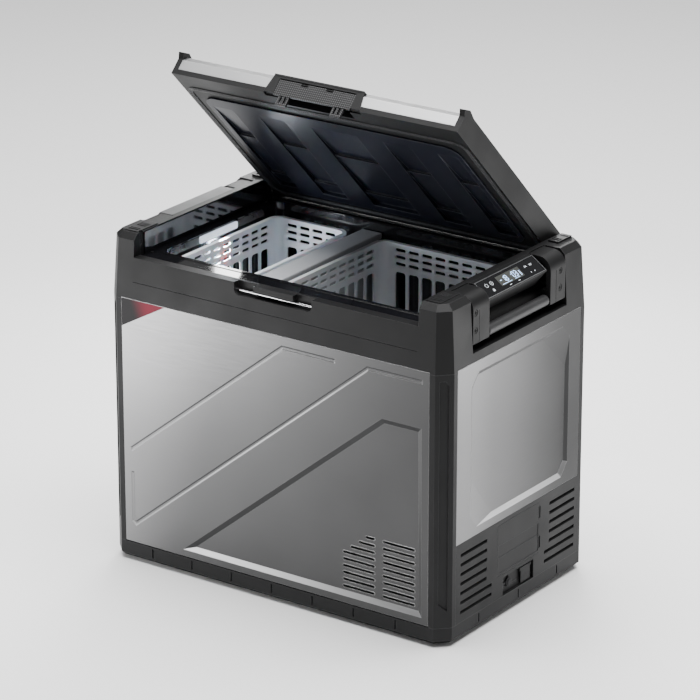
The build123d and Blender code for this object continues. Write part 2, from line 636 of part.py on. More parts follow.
def make_keeper_bar():
    return rod("x", (-KEEPER_HALF - 3, KEEPER_HALF + 3), KEEPER_BAR, KEEPER_BAR_R)


def make_keeper_plate():
    y = (FRONT + 5.5, FRONT + KEEPER_DEPTH)
    plate = block((-38, 38), y, (COLLAR_Z - 10.5, COLLAR_Z - FIT))
    plate -= block((-34, 34), (y[0] + 2, y[1] - 2), (COLLAR_Z - 12, COLLAR_Z - 3))
    return plate


# ---- liner, insulation, coil, light ----
COIL_R = 3.0
COIL_OUT = 3.5
COIL_SPACE = 7.4
COIL_TURNS = 6
COIL_PITCH = 32.0
COIL_LOW = SHALLOW_FLOOR + 25
LED_COUNT = 7
LED_PITCH = 11.25
LED_Z = BODY_Z + 58.5
SKIN = 8.0
PIPE_PORTS = (40.0, 70.0)     # places in Y where the coil's ends come down


def zones(grow, top):
    """Space of the two zones, grown outwards."""
    y = (OPEN_FRONT - grow, OPEN_REAR + grow)
    radius = LINER_R + grow
    whole = slab("z", (SHALLOW_FLOOR - grow, top), (-OPEN_X - grow, OPEN_X + grow), y, radius)
    deep = slab("z", (DEEP_FLOOR - grow, SHALLOW_FLOOR + radius), (-OPEN_X - grow, STEP_X + grow), y, radius)
    return whole + deep


def make_liner():
    return zones(LINER_WALL, SEAT_Z) - zones(0, SEAT_Z + 1)


def bay(grow=0.0):
    """Machine compartment at the lower right."""
    limit = SKIN + 2
    space = block((BAY_WALL_X - grow, RIGHT + 1), (FRONT - 1, REAR + 1), (0, BAY_TOP + grow))
    return space & prism("z", (0, FAR), footprint(-limit))


def make_foam_insulation():
    foam = prism("z", (TRAY_TOP + LIP_H + 1, BODY_Z - 5), footprint(SKIN))
    foam += prism("z", (BODY_Z - 5, SEAT_Z - WALL - 1), footprint(SKIN + WALL + 1))
    foam -= bay()
    foam -= zones(LINER_WALL, FAR)
    coil_top = COIL_LOW + COIL_PITCH * COIL_TURNS
    foam -= slab("z", (COIL_LOW - 8, coil_top), (-OPEN_X - COIL_SPACE - 2, OPEN_X + COIL_SPACE + 2),
                 (OPEN_FRONT - COIL_SPACE - 2, OPEN_REAR + COIL_SPACE + 2), LINER_R + 4)
    for y in PIPE_PORTS:
        foam -= rod("z", (BAY_TOP - 5, COIL_LOW), (OPEN_X + LINER_WALL + COIL_OUT, y), COIL_R + FIT)
    half = KEEPER_HALF + WALL + 1
    foam -= block((-half, half), (FRONT, FRONT + KEEPER_DEPTH + WALL + 1),
                  (COLLAR_Z - KEEPER_H - WALL - 1, FAR))
    for side in both(GRIP_WALL_X - WALL - 1, FAR):
        grip_y = (GRIP_Y[0] - WALL - 1, GRIP_Y[1] + WALL + 1)
        foam -= block(side, from_front(grip_y), (BODY_Z + GRIP_FLOOR - WALL - 1, FAR))
    return foam


def make_evaporator_coil():
    """Stacked loops of tube around the liner, joined by one upright header, with two ends down."""
    x = OPEN_X + LINER_WALL + COIL_OUT
    y0, y1 = OPEN_FRONT - LINER_WALL - COIL_OUT, OPEN_REAR + LINER_WALL + COIL_OUT
    turns = []
    for turn in range(COIL_TURNS):
        z = COIL_LOW + turn * COIL_PITCH
        ring = slab("z", (z - COIL_R, z + COIL_R), (-x - COIL_R, x + COIL_R),
                    (y0 - COIL_R, y1 + COIL_R), LINER_R + 6)
        ring -= slab("z", (z - 4, z + 4), (COIL_R - x, x - COIL_R), (y0 + COIL_R, y1 - COIL_R), LINER_R)
        turns.append(ring)
    top = COIL_LOW + (COIL_TURNS - 1) * COIL_PITCH
    turns.append(rod("z", (BAY_TOP - 12, top), (x, PIPE_PORTS[0]), COIL_R))
    turns.append(rod("z", (BAY_TOP - 12, COIL_LOW), (x, PIPE_PORTS[1]), COIL_R))
    return joined(turns)


def make_led_strip():
    wall = -OPEN_X
    strip = slab("x", (wall, wall + 1.0), from_front((80, 334)), (LED_Z - 6.3, LED_Z + 6.3), 6)
    middle = FRONT + 208
    for index in range(LED_COUNT):
        y = middle + (index - (LED_COUNT - 1) / 2) * LED_PITCH
        strip += block((wall + 0.5, wall + 1.8), (y - 2, y + 2), (LED_Z - 2, LED_Z + 2))
    return strip


def make_led_lens():
    wall = -OPEN_X
    middle = FRONT + 208
    lens = slab("x", (wall + 1.0, wall + 3.4), (middle - 51, middle + 51), (LED_Z - 6, LED_Z + 6), 3)
    return lens - slab("x", (wall, wall + 2.4), (middle - 49, middle + 49), (LED_Z - 4.5, LED_Z + 4.5), 2)


# ---- handles, display ----
def make_straps():
    """Two straps over the right end beam, with bosses for their screws."""
    bottom = BODY_Z + 26
    inner = STRAP_X - STRAP_T
    outline = [(STRAP_X - 19, bottom), (STRAP_X, bottom), (STRAP_X, STRAP_TOP),
               (RIGHT - STRAP_IN - 3, STRAP_TOP), (RIGHT - STRAP_IN - 3, STRAP_TOP - STRAP_T),
               (inner, STRAP_TOP - STRAP_T), (inner, bottom + 26), (STRAP_X - 19, bottom + 26)]
    radii = [3, 3, 23, 1, 1, 14, 2, 3]
    straps = joined([soft_prism("y", from_front(span), outline, radii) for span in STRAPS_Y])
    for centre in screw_places():
        straps += rod("x", (GRIP_WALL_X, inner + 1), centre, 7)
    for centre in screw_places():
        straps -= rod("x", (GRIP_WALL_X - 1, FAR), centre, 2.5)
        straps -= rod("x", (STRAP_X - 3.5, FAR), centre, SCREW_R)
    for seam in SEAMS_Y:
        y = FRONT + seam
        straps -= block((STRAP_X - 0.7, FAR), (y - 0.6, y + 0.6), (bottom - 1, STRAP_TOP - 24))
    return straps - rod("y", bar_span(), BAR_CENTRE, BAR_R)


def bar_span():
    return (FRONT + STRAPS_Y[0][0] + 10, FRONT + STRAPS_Y[1][1] - 10)


def make_bar():
    return rod("y", bar_span(), BAR_CENTRE, BAR_R)


def make_grip():
    y = (FRONT + STRAPS_Y[0][1] + GRIP_END_GAP, FRONT + STRAPS_Y[1][0] - GRIP_END_GAP)
    grip = rod("y", y, BAR_CENTRE, GRIP_R)
    ends = [edge for edge in grip.edges() if edge.geom_type == GeomType.CIRCLE]
    return fillet(ends, 2.5) - rod("y", bar_span(), BAR_CENTRE, BAR_R)


def make_screws():
    screws = []
    for centre in screw_places():
        y, z = centre
        head = rod("x", (STRAP_X - 3.5, STRAP_X - 0.6), centre, SCREW_R - 0.4)
        for wide, high in ((2.8, 0.6), (0.6, 2.8)):
            head -= block((STRAP_X - 2.2, STRAP_X), (y - wide, y + wide), (z - high, z + high))
        screws.append(head + rod("x", (GRIP_WALL_X - 4.5, STRAP_X - 3.4), centre, 2.5))
    right = joined(screws)
    return right + mirrored(right)


DISPLAY_Y = (125.0, 291.0)
GLASS_Y = (127.0, 289.0)
GLASS_T = 1.8
GLASS_SINK = 0.6              # glass below the rim of its housing
LCD_T = 3.0
GLASS_TOP = (RIGHT - 35.0, TOP_Z + 0.5)
GLASS_LOW = (RIGHT - 6.6, TOP_Z - 19.3)
HOUSING_BOTTOM = BODY_Z + 58.5
LCD_Y = (176.0, 240.0)


def housing_outline(top_corner):
    """Section of the block between the straps, across Y."""
    return [(GRIP_WALL_X, HOUSING_BOTTOM), (GRIP_WALL_X + 15, HOUSING_BOTTOM),
            (GLASS_LOW[0], GLASS_LOW[1] - 2)] + top_corner + [(GRIP_WALL_X, TOP_Z)]


def glass_outline(start, end, low, high):
    """Strip along the slope of the display glass, between two distances above the slope."""
    a, b = Vector(*GLASS_TOP), Vector(*GLASS_LOW)
    step = (b - a)
    normal = Vector(-step.Y, step.X).normalized()
    corners = [a + step * end + normal * low, a + step * start + normal * low,
               a + step * start + normal * high, a + step * end + normal * high]
    return [(corner.X, corner.Y) for corner in corners]


def make_display_housing():
    housing = prism("y", from_front(DISPLAY_Y), housing_outline([GLASS_LOW, (GLASS_TOP[0], TOP_Z)]))
    housing -= prism("y", from_front(GLASS_Y), glass_outline(0.05, 0.95, -GLASS_SINK - GLASS_T, 5))
    housing -= prism("y", from_front(LCD_Y), glass_outline(0.2, 0.8, -GLASS_SINK - GLASS_T - LCD_T, 0))
    return housing


def make_display_glass():
    return prism("y", from_front(GLASS_Y), glass_outline(0.05, 0.95, -GLASS_SINK - GLASS_T, -GLASS_SINK))


def make_lcd_module():
    outline = glass_outline(0.2, 0.8, -GLASS_SINK - GLASS_T - LCD_T, -GLASS_SINK - GLASS_T)
    return prism("y", from_front(LCD_Y), outline)


def make_left_side_cover():
    outer = RIGHT - 6.6
    corners = [(outer, TOP_Z - 12), (outer - 9, TOP_Z - 1.5), (GRIP_WALL_X, TOP_Z - 1.5)]
    return mirrored(prism("y", from_front(DISPLAY_Y), housing_outline(corners)[:-1]))


# ---- hinge and lid ----
BUSH_R = 4.5
HORN = 4.4
PLUG_DROP = 3.0
PLUG_EDGE = 16.0
PLUG_R = 26.0
POCKETS = ((-216.5, 37.0), (-121.0, 52.0), (0.0, 90.0), (121.0, 52.0), (216.5, 37.0))
POCKET_ENDS = (91.0, 187.0, 307.0, 346.0)   # front end, two steps, rear end
POCKET_DEPTH = 7.0
POCKET_STEP = 2.5             # depth just behind a step
PANEL_T = 2.5
BEZEL_HALF = (92.0, 85.5)
BEZEL_PROUD = 0.8
BEZEL_Z = (LID_Z + 2.5, LID_Z + 35.0)
FRONT_STRIP = 9.0
HOOK_X = (42.0, 62.0)
HOOK_DROP = 16.5
HOOK_Y = (FRONT + 5.5, FRONT + 9.5)
PULL_DEPTH = 20.0
PULL_H = 17.0
PULL_Y = 14.0                 # front of the finger space
PULL_HALF = (70.0, 60.0)
PLUG_X = OPEN_X - PLUG_EDGE
PLUG_Y = (OPEN_FRONT + 4.0, OPEN_REAR - 10.0)
LATCH_PIVOT = (LID_Y + 2.6, LID_Z + LATCH_H)
LATCH_PIN_R = 1.2
GASKET_X = LID_HALF - 5.0
GASKET_Y = (FRONT + 41.0, HINGE_Y - 10.0)
GASKET_R = 24.0
GASKET_SINK = 1.2             # groove in the collar behind the rim, below the gasket
SPRING_X = (18.0, 30.0)


def make_hinge_pins():
    pins = rod("x", PIN_X, (HINGE_Y, HINGE_Z), HINGE_PIN_R)
    return pins + mirrored(pins)


def make_hinge_bushes():
    bush = tube("x", (LID_HALF - RAIL, LID_HALF), (HINGE_Y, HINGE_Z), BUSH_R, HINGE_PIN_R + BORE_FIT)
    return bush + mirrored(bush)


def rear_profile(front_y, top):
    """Section of the lid behind a place in Y, with its round lower rear edge."""
    round_edge = rod("x", (-LID_HALF, LID_HALF), (HINGE_Y, HINGE_Z), HINGE_UP - 0.2)
    corner = 10.0
    rear = HINGE_Y + HINGE_UP - 0.2
    outline = [(front_y, LID_Z), (HINGE_Y, LID_Z), (HINGE_Y, HINGE_Z), (rear, HINGE_Z),
               (rear, top - corner), (rear - corner, top), (front_y, top)]
    return prism("x", (-LID_HALF, LID_HALF), outline) + round_edge


def make_lid_frame():
    horn_y = FRONT + 12.3
    rail = [(LID_Y, LID_Z), (HINGE_Y - 5, LID_Z), (HINGE_Y - 5, LID_TOP), (FRONT + 31, LID_TOP),
            (horn_y, LID_TOP + HORN), (FRONT - 2.5, LID_TOP - 2.6), (LID_Y, LID_TOP - 11.2)]
    frame = joined([prism("x", side, rail) for side in both(LID_HALF - RAIL, LID_HALF)])
    frame += rear_profile(HINGE_Y - 14, LID_TOP)
    inner_x = LID_HALF - RAIL
    frame += block((-inner_x, inner_x), (LID_Y, HINGE_Y - 13), (LID_Z, LID_Z + 3))
    frame += block((-inner_x, inner_x), (LID_Y, LID_Y + 3), (LID_Z, LID_Z + FRONT_STRIP))
    frame -= slab("z", (LID_Z - 1, LID_Z + 4), (-PLUG_X - FIT, PLUG_X + FIT),
                  (PLUG_Y[0] - FIT, PLUG_Y[1] + FIT), PLUG_R + FIT)
    frame += pull_pocket(2.0, LID_Z)
    frame -= pull_pocket(0.0, LID_Z - 1)
    frame -= bezel_body(FIT / 3)
    for side in both(PIN_X[0] - 2, LID_HALF + 1):
        frame -= rod("x", side, (HINGE_Y, HINGE_Z), BUSH_R)
    return frame


def pull_pocket(grow, low):
    """Finger space behind the latch grip, open downwards."""
    top = LID_Z + PULL_H + grow
    wide, narrow = PULL_HALF[0] + grow, PULL_HALF[1] + grow
    y = (FRONT + PULL_Y - grow, FRONT + PULL_Y + PULL_DEPTH + grow)
    return prism("y", y, [(-wide, low), (wide, low), (narrow, top), (-narrow, top)])


def lid_skin_path():
    return [(LID_Y, LID_Z + FRONT_STRIP), (LID_Y, LID_Z + 26), (FRONT + 13, LID_TOP - 3),
            (FRONT + 40, LID_TOP), (HINGE_Y - 14, LID_TOP)]


def make_lid_skin():
    half = LID_HALF - RAIL
    skin = prism("x", (-half, half), ribbon(lid_skin_path(), 0, SHEET))
    skin -= bezel_body(FIT / 3)
    return skin


def bezel_body(grow):
    """Latch surround, or the space cut for it when grown."""
    wide, narrow = BEZEL_HALF
    outline = [(-wide, BEZEL_Z[0]), (wide, BEZEL_Z[0]), (narrow, BEZEL_Z[1]), (-narrow, BEZEL_Z[1])]
    y = (LID_Y - BEZEL_PROUD - grow, FRONT + 14)
    body = prism("y", y, grown(outline, grow) if grow else outline)
    if grow:
        body += block((-wide - grow, wide + grow), y, (LID_Z - 1, BEZEL_Z[0]))
    return body


def make_latch_bezel():
    bezel = bezel_body(0)
    ridge_z = BEZEL_Z[1] - 2.6
    bezel += block((-BEZEL_HALF[1], BEZEL_HALF[1]), (LID_Y - BEZEL_PROUD - 0.8, LID_Y), (ridge_z, BEZEL_Z[1]))
    half = LATCH_HALF + 0.5
    bezel -= block((-half, half), (FRONT - 5, FRONT + 11), (LID_Z - 1, LATCH_PIVOT[1] + 3.1))
    bezel -= block((-half, half), (FRONT - 5, FRONT + 15), (LID_Z - 1, LATCH_PIVOT[1] - 4))
    for side in both(LATCH_HALF - 1, LATCH_HALF + 7):
        bezel -= rod("x", side, LATCH_PIVOT, LATCH_PIN_R)
    return bezel


def make_latch_pin():
    return rod("x", (-LATCH_HALF - 7, LATCH_HALF + 7), LATCH_PIVOT, LATCH_PIN_R)


def make_latch_grip():
    y = (LID_Y, LID_Y + LATCH_THICK)
    grip = block((-LATCH_HALF, LATCH_HALF), y, (LID_Z, LATCH_PIVOT[1]))
    grip += rod("x", (-LATCH_HALF, LATCH_HALF), LATCH_PIVOT, 2.6)
    for x0, x1 in both(*HOOK_X):
        hook = block((x0, x1), HOOK_Y, (LID_Z - HOOK_DROP, LID_Z + 8))
        prong = (x1 - x0) / 5
        for index in (1, 3):
            gap = (x0 + index * prong, x0 + (index + 1) * prong)
            hook -= block(gap, (HOOK_Y[0] - 1, HOOK_Y[1] + 1), (LID_Z - HOOK_DROP + 4, LID_Z - 1))
        grip += hook
    for side in both(*SPRING_X):
        grip -= block((side[0] - 0.5, side[1] + 0.5), (LID_Y - 1, FRONT + 11), (LATCH_PIVOT[1] - 3.2, FAR))
    return grip - rod("x", (-FAR, FAR), LATCH_PIVOT, LATCH_PIN_R + BORE_FIT)


def make_latch_spring():
    springs = []
    for side in both(*SPRING_X):
        coil = tube("x", side, LATCH_PIVOT, 2.2, LATCH_PIN_R)
        for index in range(5):
            low = side[0] + 1.2 + index * 2.2
            coil -= tube("x", (low, low + 0.6), LATCH_PIVOT, 2.4, 1.8)
        springs.append(coil)
    return joined(springs)


def pocket_outline(grow):
    """Stepped floor of the lid's pockets, seen from the side; each step deepens towards the hinge."""
    low = LID_Z - PLUG_DROP
    near, far = FRONT + POCKET_ENDS[0] - grow, FRONT + POCKET_ENDS[-1]
    points = [(near, low - 1), (near, low + grow)]
    for end in POCKET_ENDS[1:-1]:
        points.append((FRONT + end, low + POCKET_DEPTH + grow))
        points.append((FRONT + end + 0.01, low + POCKET_STEP + grow))
    points.append((far, low + POCKET_DEPTH + grow))
    points.append((far + grow, low + POCKET_DEPTH + grow))
    points.append((far + grow, low - 1))
    return points[::-1]


def pocket_solids(grow):
    return joined([prism("x", (centre - width / 2 - grow, centre + width / 2 + grow), pocket_outline(grow))
                   for centre, width in POCKETS])


def make_lid_inner_panel():
    low = LID_Z - PLUG_DROP
    rim_z = LID_Z + 3
    tray = slab("z", (low, rim_z + 2), (-PLUG_X, PLUG_X), PLUG_Y, PLUG_R)
    tray += slab("z", (rim_z, rim_z + 2), (-PLUG_X - 8, PLUG_X + 8),
                 (PLUG_Y[0] - 8, PLUG_Y[1] + 4), PLUG_R + 8)
    tray -= slab("z", (low + PANEL_T, rim_z + 3), (-PLUG_X + PANEL_T, PLUG_X - PANEL_T),
                 (PLUG_Y[0] + PANEL_T, PLUG_Y[1] - PANEL_T), PLUG_R - PANEL_T)
    shell = pocket_solids(2.0) & block((-FAR, FAR), (-FAR, FAR), (low + 0.5, FAR))
    return tray + shell - pocket_solids(0.0)


def make_lid_foam():
    half = LID_HALF - RAIL - 1
    low = LID_Z + 3.2
    foam = block((-half, half), (FRONT + 16, HINGE_Y - 16), (low + 2, LID_TOP - SHEET - 3.2))
    foam -= pocket_solids(2.6)
    foam -= bezel_body(FIT)
    wide = BEZEL_HALF[0] + 2
    return foam - block((-wide, wide), (FRONT, FRONT + PULL_Y + PULL_DEPTH + 3), (low, LID_Z + PULL_H + 3))


def gasket_outline(span, inset, grow=0.0):
    """Rounded rectangle along the gasket, moved inwards or grown."""
    x = GASKET_X - inset + grow
    y = (GASKET_Y[0] + inset - grow, GASKET_Y[1] - inset + grow)
    return slab("z", span, (-x, x), y, GASKET_R - inset + grow)


def make_lid_gasket():
    """Flat strip with three raised lips."""
    rings = []
    for inset, width, drop in ((0, 8.0, 0.5), (0, 1.6, 1.2), (3.2, 1.6, 1.2), (6.4, 1.6, 1.2)):
        ring = gasket_outline((LID_Z - drop, LID_Z), inset)
        rings.append(ring - gasket_outline((LID_Z - drop - 1, LID_Z + 1), inset + width))
    return joined(rings)


# ---- baskets, divider ----
BASKET_GAP = 7.0
BASKET_TOP = BODY_Z + 49.0
BASKET_WALL = 2.5
BASKET_R = 16.0
RIM_W = 5.0
BASKET_REAR = 14.0
LEFT_BASKET_W = 154.0
DIVIDER_W = 40.0
DIVIDER_GAP = 3.0
DIVIDER_T = 12.0
SLOT_SIZE = (20.0, 5.5)
SLOT_PITCH = 26.0
SLOT_FIRST = 11.0             # uppermost slots below the basket's rim
SLOT_STEP = 12.0


def slot_row(low, high):
    """Middles of the slots that fit between two limits."""
    count = int((high - low - 2 * BASKET_R) // SLOT_PITCH)
    middle = (low + high) / 2
    return [middle + (index - (count - 1) / 2) * SLOT_PITCH for index in range(count)]


def slot_heights(floor):
    """Height spans and corner radii of the slots above each other: three low ones and a tall one."""
    rows = [BASKET_TOP - SLOT_FIRST - row * SLOT_STEP for row in range(3)]
    small = [((z - SLOT_SIZE[1] / 2, z + SLOT_SIZE[1] / 2), 2.5) for z in rows]
    return small + [((floor + 20, rows[-1] - 14), 5)]


def make_basket(x, floor):
    y = (OPEN_FRONT + BASKET_GAP, OPEN_REAR - BASKET_REAR)
    inside = RIM_W
    wall_x, wall_y = (x[0] + inside, x[1] - inside), (y[0] + inside, y[1] - inside)
    basket = slab("z", (floor, BASKET_TOP), wall_x, wall_y, BASKET_R)
    basket += slab("z", (BASKET_TOP - 3, BASKET_TOP), x, y, BASKET_R + inside)
    thick = BASKET_WALL
    basket -= slab("z", (floor + thick, BASKET_TOP + 1), (wall_x[0] + thick, wall_x[1] - thick),
                   (wall_y[0] + thick, wall_y[1] - thick), BASKET_R - thick)
    for axis, through, wall in (("y", y, wall_x), ("x", x, wall_y)):
        for centre in slot_row(*wall):
            for heights, radius in slot_heights(floor):
                width = (centre - SLOT_SIZE[0] / 2, centre + SLOT_SIZE[0] / 2)
                basket -= slab(axis, through, width, heights, radius)
    return basket


def make_basket_left():
    low = -OPEN_X + BASKET_GAP
    return make_basket((low, low + LEFT_BASKET_W), DEEP_FLOOR + 1)


def make_basket_right():
    return make_basket((STEP_X + DIVIDER_GAP + 1, OPEN_X - BASKET_GAP), SHALLOW_FLOOR + 1)


def make_divider():
    high = STEP_X - DIVIDER_GAP
    x = (high - DIVIDER_W, high)
    middle = (x[0] + x[1]) / 2
    y = (OPEN_FRONT + 3, OPEN_REAR - 3)
    divider = slab("y", y, x, (BODY_Z + 43, BODY_Z + 53), 2)
    board = block((middle - DIVIDER_T / 2, middle + DIVIDER_T / 2), y, (DEEP_FLOOR + 1, BODY_Z + 44))
    return divider + board


# ---- machine compartment ----
MACHINE_X = 150.0
MACHINE_Y = 62.0
CAN_R = 60.0
CAN_H = 115.0
PLATE_T = 3.0
GROMMET_H = 12.0
FAN_CENTRE = (205.0, 104.0)
FAN_Y = FRONT + 40.0
FAN_R = 52.0
FAN_DEPTH = 16.0
FLOOR_Z = FOOT_H + WALL
DRIER = (262.0, 140.0)
DRIER_Z = (40.0, 105.0)
DRIER_R = 9.0
BOARD_IN = 32.0               # board in front of the rear face
BOARD_T = 1.6
PIPE_R = 2.5
PIPE_LOW = 25.0               # height of the lowest pipe run
PIPE_HIGH = 130.0             # height of the feed pipe's run
CAN_Z = FLOOR_Z + PLATE_T + GROMMET_H + 3.0


def mount_places():
    return [(MACHINE_X + dx, MACHINE_Y + dy) for dx in (-75, 75) for dy in (-50, 50)]


def make_compressor_plate():
    x, y = (MACHINE_X - 90, MACHINE_X + 90), (MACHINE_Y - 68, MACHINE_Y + 68)
    return block(x, y, (FLOOR_Z, FLOOR_Z + PLATE_T))


def make_compressor_grommets():
    low = FLOOR_Z + PLATE_T
    return joined([rod("z", (low, low + GROMMET_H), place, 9) for place in mount_places()])


def make_compressor():
    can = rod("z", (CAN_Z - 1, CAN_Z + CAN_H), (MACHINE_X, MACHINE_Y), CAN_R)
    circles = [edge for edge in can.edges() if edge.geom_type == GeomType.CIRCLE]
    can = fillet([edge for edge in circles if edge.center().Z > CAN_Z + CAN_H - 1], 22)
    can += slab("z", (CAN_Z - 3, CAN_Z), (MACHINE_X - 85, MACHINE_X + 85),
                (MACHINE_Y - 60, MACHINE_Y + 60), 12)
    terminal = (MACHINE_X + CAN_R - 6, MACHINE_X + CAN_R + 18)
    return can + block(terminal, (MACHINE_Y - 22, MACHINE_Y + 22), (CAN_Z + 30, CAN_Z + 75))


def make_condenser():
    x, z = FAN_CENTRE
    y = (FAN_Y - 28, FAN_Y - 8)
    core = block((x - 66, x + 66), y, (z - 58, z + 58))
    for index in range(12):
        low = z - 54 + index * 9.2
        core -= block((x - 62, x + 62), (y[0] - 1, y[0] + 6), (low, low + 4))
    return core


def make_fan_shroud():
    x, z = FAN_CENTRE
    y = (FAN_Y, FAN_Y + FAN_DEPTH)
    frame = slab("y", y, (x - 60, x + 60), (z - 60, z + 60), 6)
    frame -= rod("y", (y[0] - 1, y[1] + 1), FAN_CENTRE, FAN_R + 2)
    back = (y[1] - 3, y[1])
    frame += rod("y", back, FAN_CENTRE, 16)
    frame += block((x - FAN_R - 4, x + FAN_R + 4), back, (z - 3, z + 3))
    frame += block((x - 3, x + 3), back, (z - FAN_R - 4, z + FAN_R + 4))
    return frame + rod("y", (y[0] + 3, y[1]), FAN_CENTRE, 2.5)


def make_fan_rotor():
    x, z = FAN_CENTRE
    y = (FAN_Y + 1, FAN_Y + FAN_DEPTH - 4)
    middle = (y[0] + y[1]) / 2
    rotor = rod("y", y, FAN_CENTRE, 14)
    for index in range(7):
        blade = Pos(32, 0, 0) * Rot(38, 0, 0) * Box(38, 1.6, 12)
        rotor += Pos(x, middle, z) * Rot(0, index * 360 / 7, 0) * blade
    return rotor - rod("y", (y[0] + 1, y[1] + 1), FAN_CENTRE, 2.5 + BORE_FIT)


def make_filter_drier():
    return rod("z", DRIER_Z, DRIER, DRIER_R)


def make_control_board():
    """Board with its transformer and heat sink."""
    face = REAR - BOARD_IN
    board = block((175, 295), (face, face + BOARD_T), (50, 130))
    board += block((190, 230), (face - 12, face), (60, 100))
    return board + block((245, 285), (face - 18, face), (65, 115))


def make_refrigerant_pipes():
    """Discharge, condenser to drier, and the two risers to the coil."""
    coil_x = OPEN_X + LINER_WALL + COIL_OUT
    riser = BAY_TOP - 12
    top = CAN_Z + CAN_H
    core_y = FAN_Y - 18
    core_x = FAN_CENTRE[0] - 66
    drier_x, drier_y = DRIER
    discharge = [(MACHINE_X - 20, MACHINE_Y - 20, top), (MACHINE_X - 20, MACHINE_Y - 20, top + 14),
                 (core_x - 29, core_y, top + 14), (core_x, core_y, top + 14)]
    liquid = [(drier_x, drier_y, DRIER_Z[0]), (drier_x, drier_y, PIPE_LOW),
              (drier_x, core_y, PIPE_LOW), (drier_x, core_y, FAN_CENTRE[1] - 58)]
    feed = [(drier_x, drier_y, DRIER_Z[1]), (drier_x, drier_y, PIPE_HIGH),
            (coil_x, PIPE_PORTS[1], PIPE_HIGH), (coil_x, PIPE_PORTS[1], riser)]
    suction = [(MACHINE_X + 20, MACHINE_Y - 20, top), (MACHINE_X + 20, MACHINE_Y - 20, top + 9),
               (coil_x, PIPE_PORTS[0], top + 9), (coil_x, PIPE_PORTS[0], riser)]
    routes = [(discharge, [8, 12]), (liquid, [7, 7]), (feed, [10, 10]), (suction, [5, 5])]
    return joined([pipe(points, radii, PIPE_R) for points, radii in routes])


def all_nodes():
    """Every sub-part by name, in the modelled pose."""
    post = make_corner_post()
    rear_post = mirror(post, about=Plane.XZ)
    straps, bar, grip = make_straps(), make_bar(), make_grip()
    fixed = {
        "base_tray": make_base_tray(), "rubber_feet": make_rubber_feet(),
        "corner_post_front_right": post, "corner_post_front_left": mirrored(post),
        "corner_post_rear_right": rear_post, "corner_post_rear_left": mirrored(rear_post),
        "front_panel": make_front_panel(), "rear_panel": make_rear_panel(),
        "left_panel": make_left_panel(), "right_panel": make_right_panel(),
        "corner_label": make_corner_label(), "vent_panel": make_vent_panel(),
        "service_door": make_service_door(), "ac_socket_cover": make_ac_socket_cover(),
        "cover_pins": make_cover_pins(), "dc_inlet": make_dc_inlet(), "ac_inlet": make_ac_inlet(),
        "upper_frame": make_upper_frame(), "rim_bezel": make_rim_bezel(),
        "keeper_bar": make_keeper_bar(), "keeper_plate": make_keeper_plate(),
        "liner": make_liner(), "foam_insulation": make_foam_insulation(),
        "evaporator_coil": make_evaporator_coil(),
        "led_strip": make_led_strip(), "led_lens": make_led_lens(),
        "handle_straps_right": straps, "handle_straps_left": mirrored(straps),
        "handle_bars": bar + mirrored(bar),
        "handle_grip_right": grip, "handle_grip_left": mirrored(grip),
        "case_screws": make_screws(), "display_housing": make_display_housing(),
        "display_glass": make_display_glass(), "lcd_module": make_lcd_module(),
        "left_side_cover": make_left_side_cover(), "hinge_pins": make_hinge_pins(),
        "basket_left": make_basket_left(), "basket_right": make_basket_right(), "divider": make_divider(),
        "compressor_plate": make_compressor_plate(), "compressor_grommets": make_compressor_grommets(),
        "compressor": make_compressor(), "condenser": make_condenser(),
        "fan_shroud": make_fan_shroud(), "fan_rotor": make_fan_rotor(),
        "filter_drier": make_filter_drier(), "control_board": make_control_board(),
        "refrigerant_pipes": make_refrigerant_pipes(),
    }
    lid = {
        "lid_frame": make_lid_frame(), "lid_skin": make_lid_skin(),
        "lid_inner_panel": make_lid_inner_panel(), "lid_foam": make_lid_foam(),
        "lid_gasket": make_lid_gasket(), "hinge_bushes": make_hinge_bushes(),
        "latch_bezel": make_latch_bezel(), "latch_grip": make_latch_grip(),
        "latch_pin": make_latch_pin(), "latch_spring": make_latch_spring(),
    }
    return fixed | {name: opened(shape) for name, shape in lid.items()}


def main():
    os.makedirs("parts", exist_ok=True)
    for name, shape in all_nodes().items():
        export_step(shape, f"parts/{name}.step")


main()
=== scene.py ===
"""Looks of the compressor cooler fridge: materials, small trim, lights and camera, in metres."""
import json
import math
import bmesh
import bpy
from mathutils import Matrix, Vector


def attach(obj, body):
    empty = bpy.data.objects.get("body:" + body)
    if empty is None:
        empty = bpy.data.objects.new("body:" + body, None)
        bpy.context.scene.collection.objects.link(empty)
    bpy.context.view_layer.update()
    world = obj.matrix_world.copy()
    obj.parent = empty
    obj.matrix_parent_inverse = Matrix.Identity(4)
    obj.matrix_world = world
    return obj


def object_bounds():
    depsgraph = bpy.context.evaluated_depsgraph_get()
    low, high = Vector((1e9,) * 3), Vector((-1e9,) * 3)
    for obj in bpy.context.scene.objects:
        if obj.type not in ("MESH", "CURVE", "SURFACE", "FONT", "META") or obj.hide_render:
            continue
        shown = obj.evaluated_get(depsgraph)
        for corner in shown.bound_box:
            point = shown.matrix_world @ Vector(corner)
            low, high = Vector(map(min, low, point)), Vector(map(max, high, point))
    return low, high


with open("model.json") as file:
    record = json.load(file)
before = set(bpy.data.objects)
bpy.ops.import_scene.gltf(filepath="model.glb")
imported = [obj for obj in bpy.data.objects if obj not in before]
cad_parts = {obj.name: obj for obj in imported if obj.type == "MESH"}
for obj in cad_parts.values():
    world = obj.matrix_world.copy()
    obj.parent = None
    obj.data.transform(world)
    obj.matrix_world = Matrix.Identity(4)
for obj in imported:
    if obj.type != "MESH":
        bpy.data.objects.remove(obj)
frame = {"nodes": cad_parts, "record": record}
cad_low, cad_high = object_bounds()

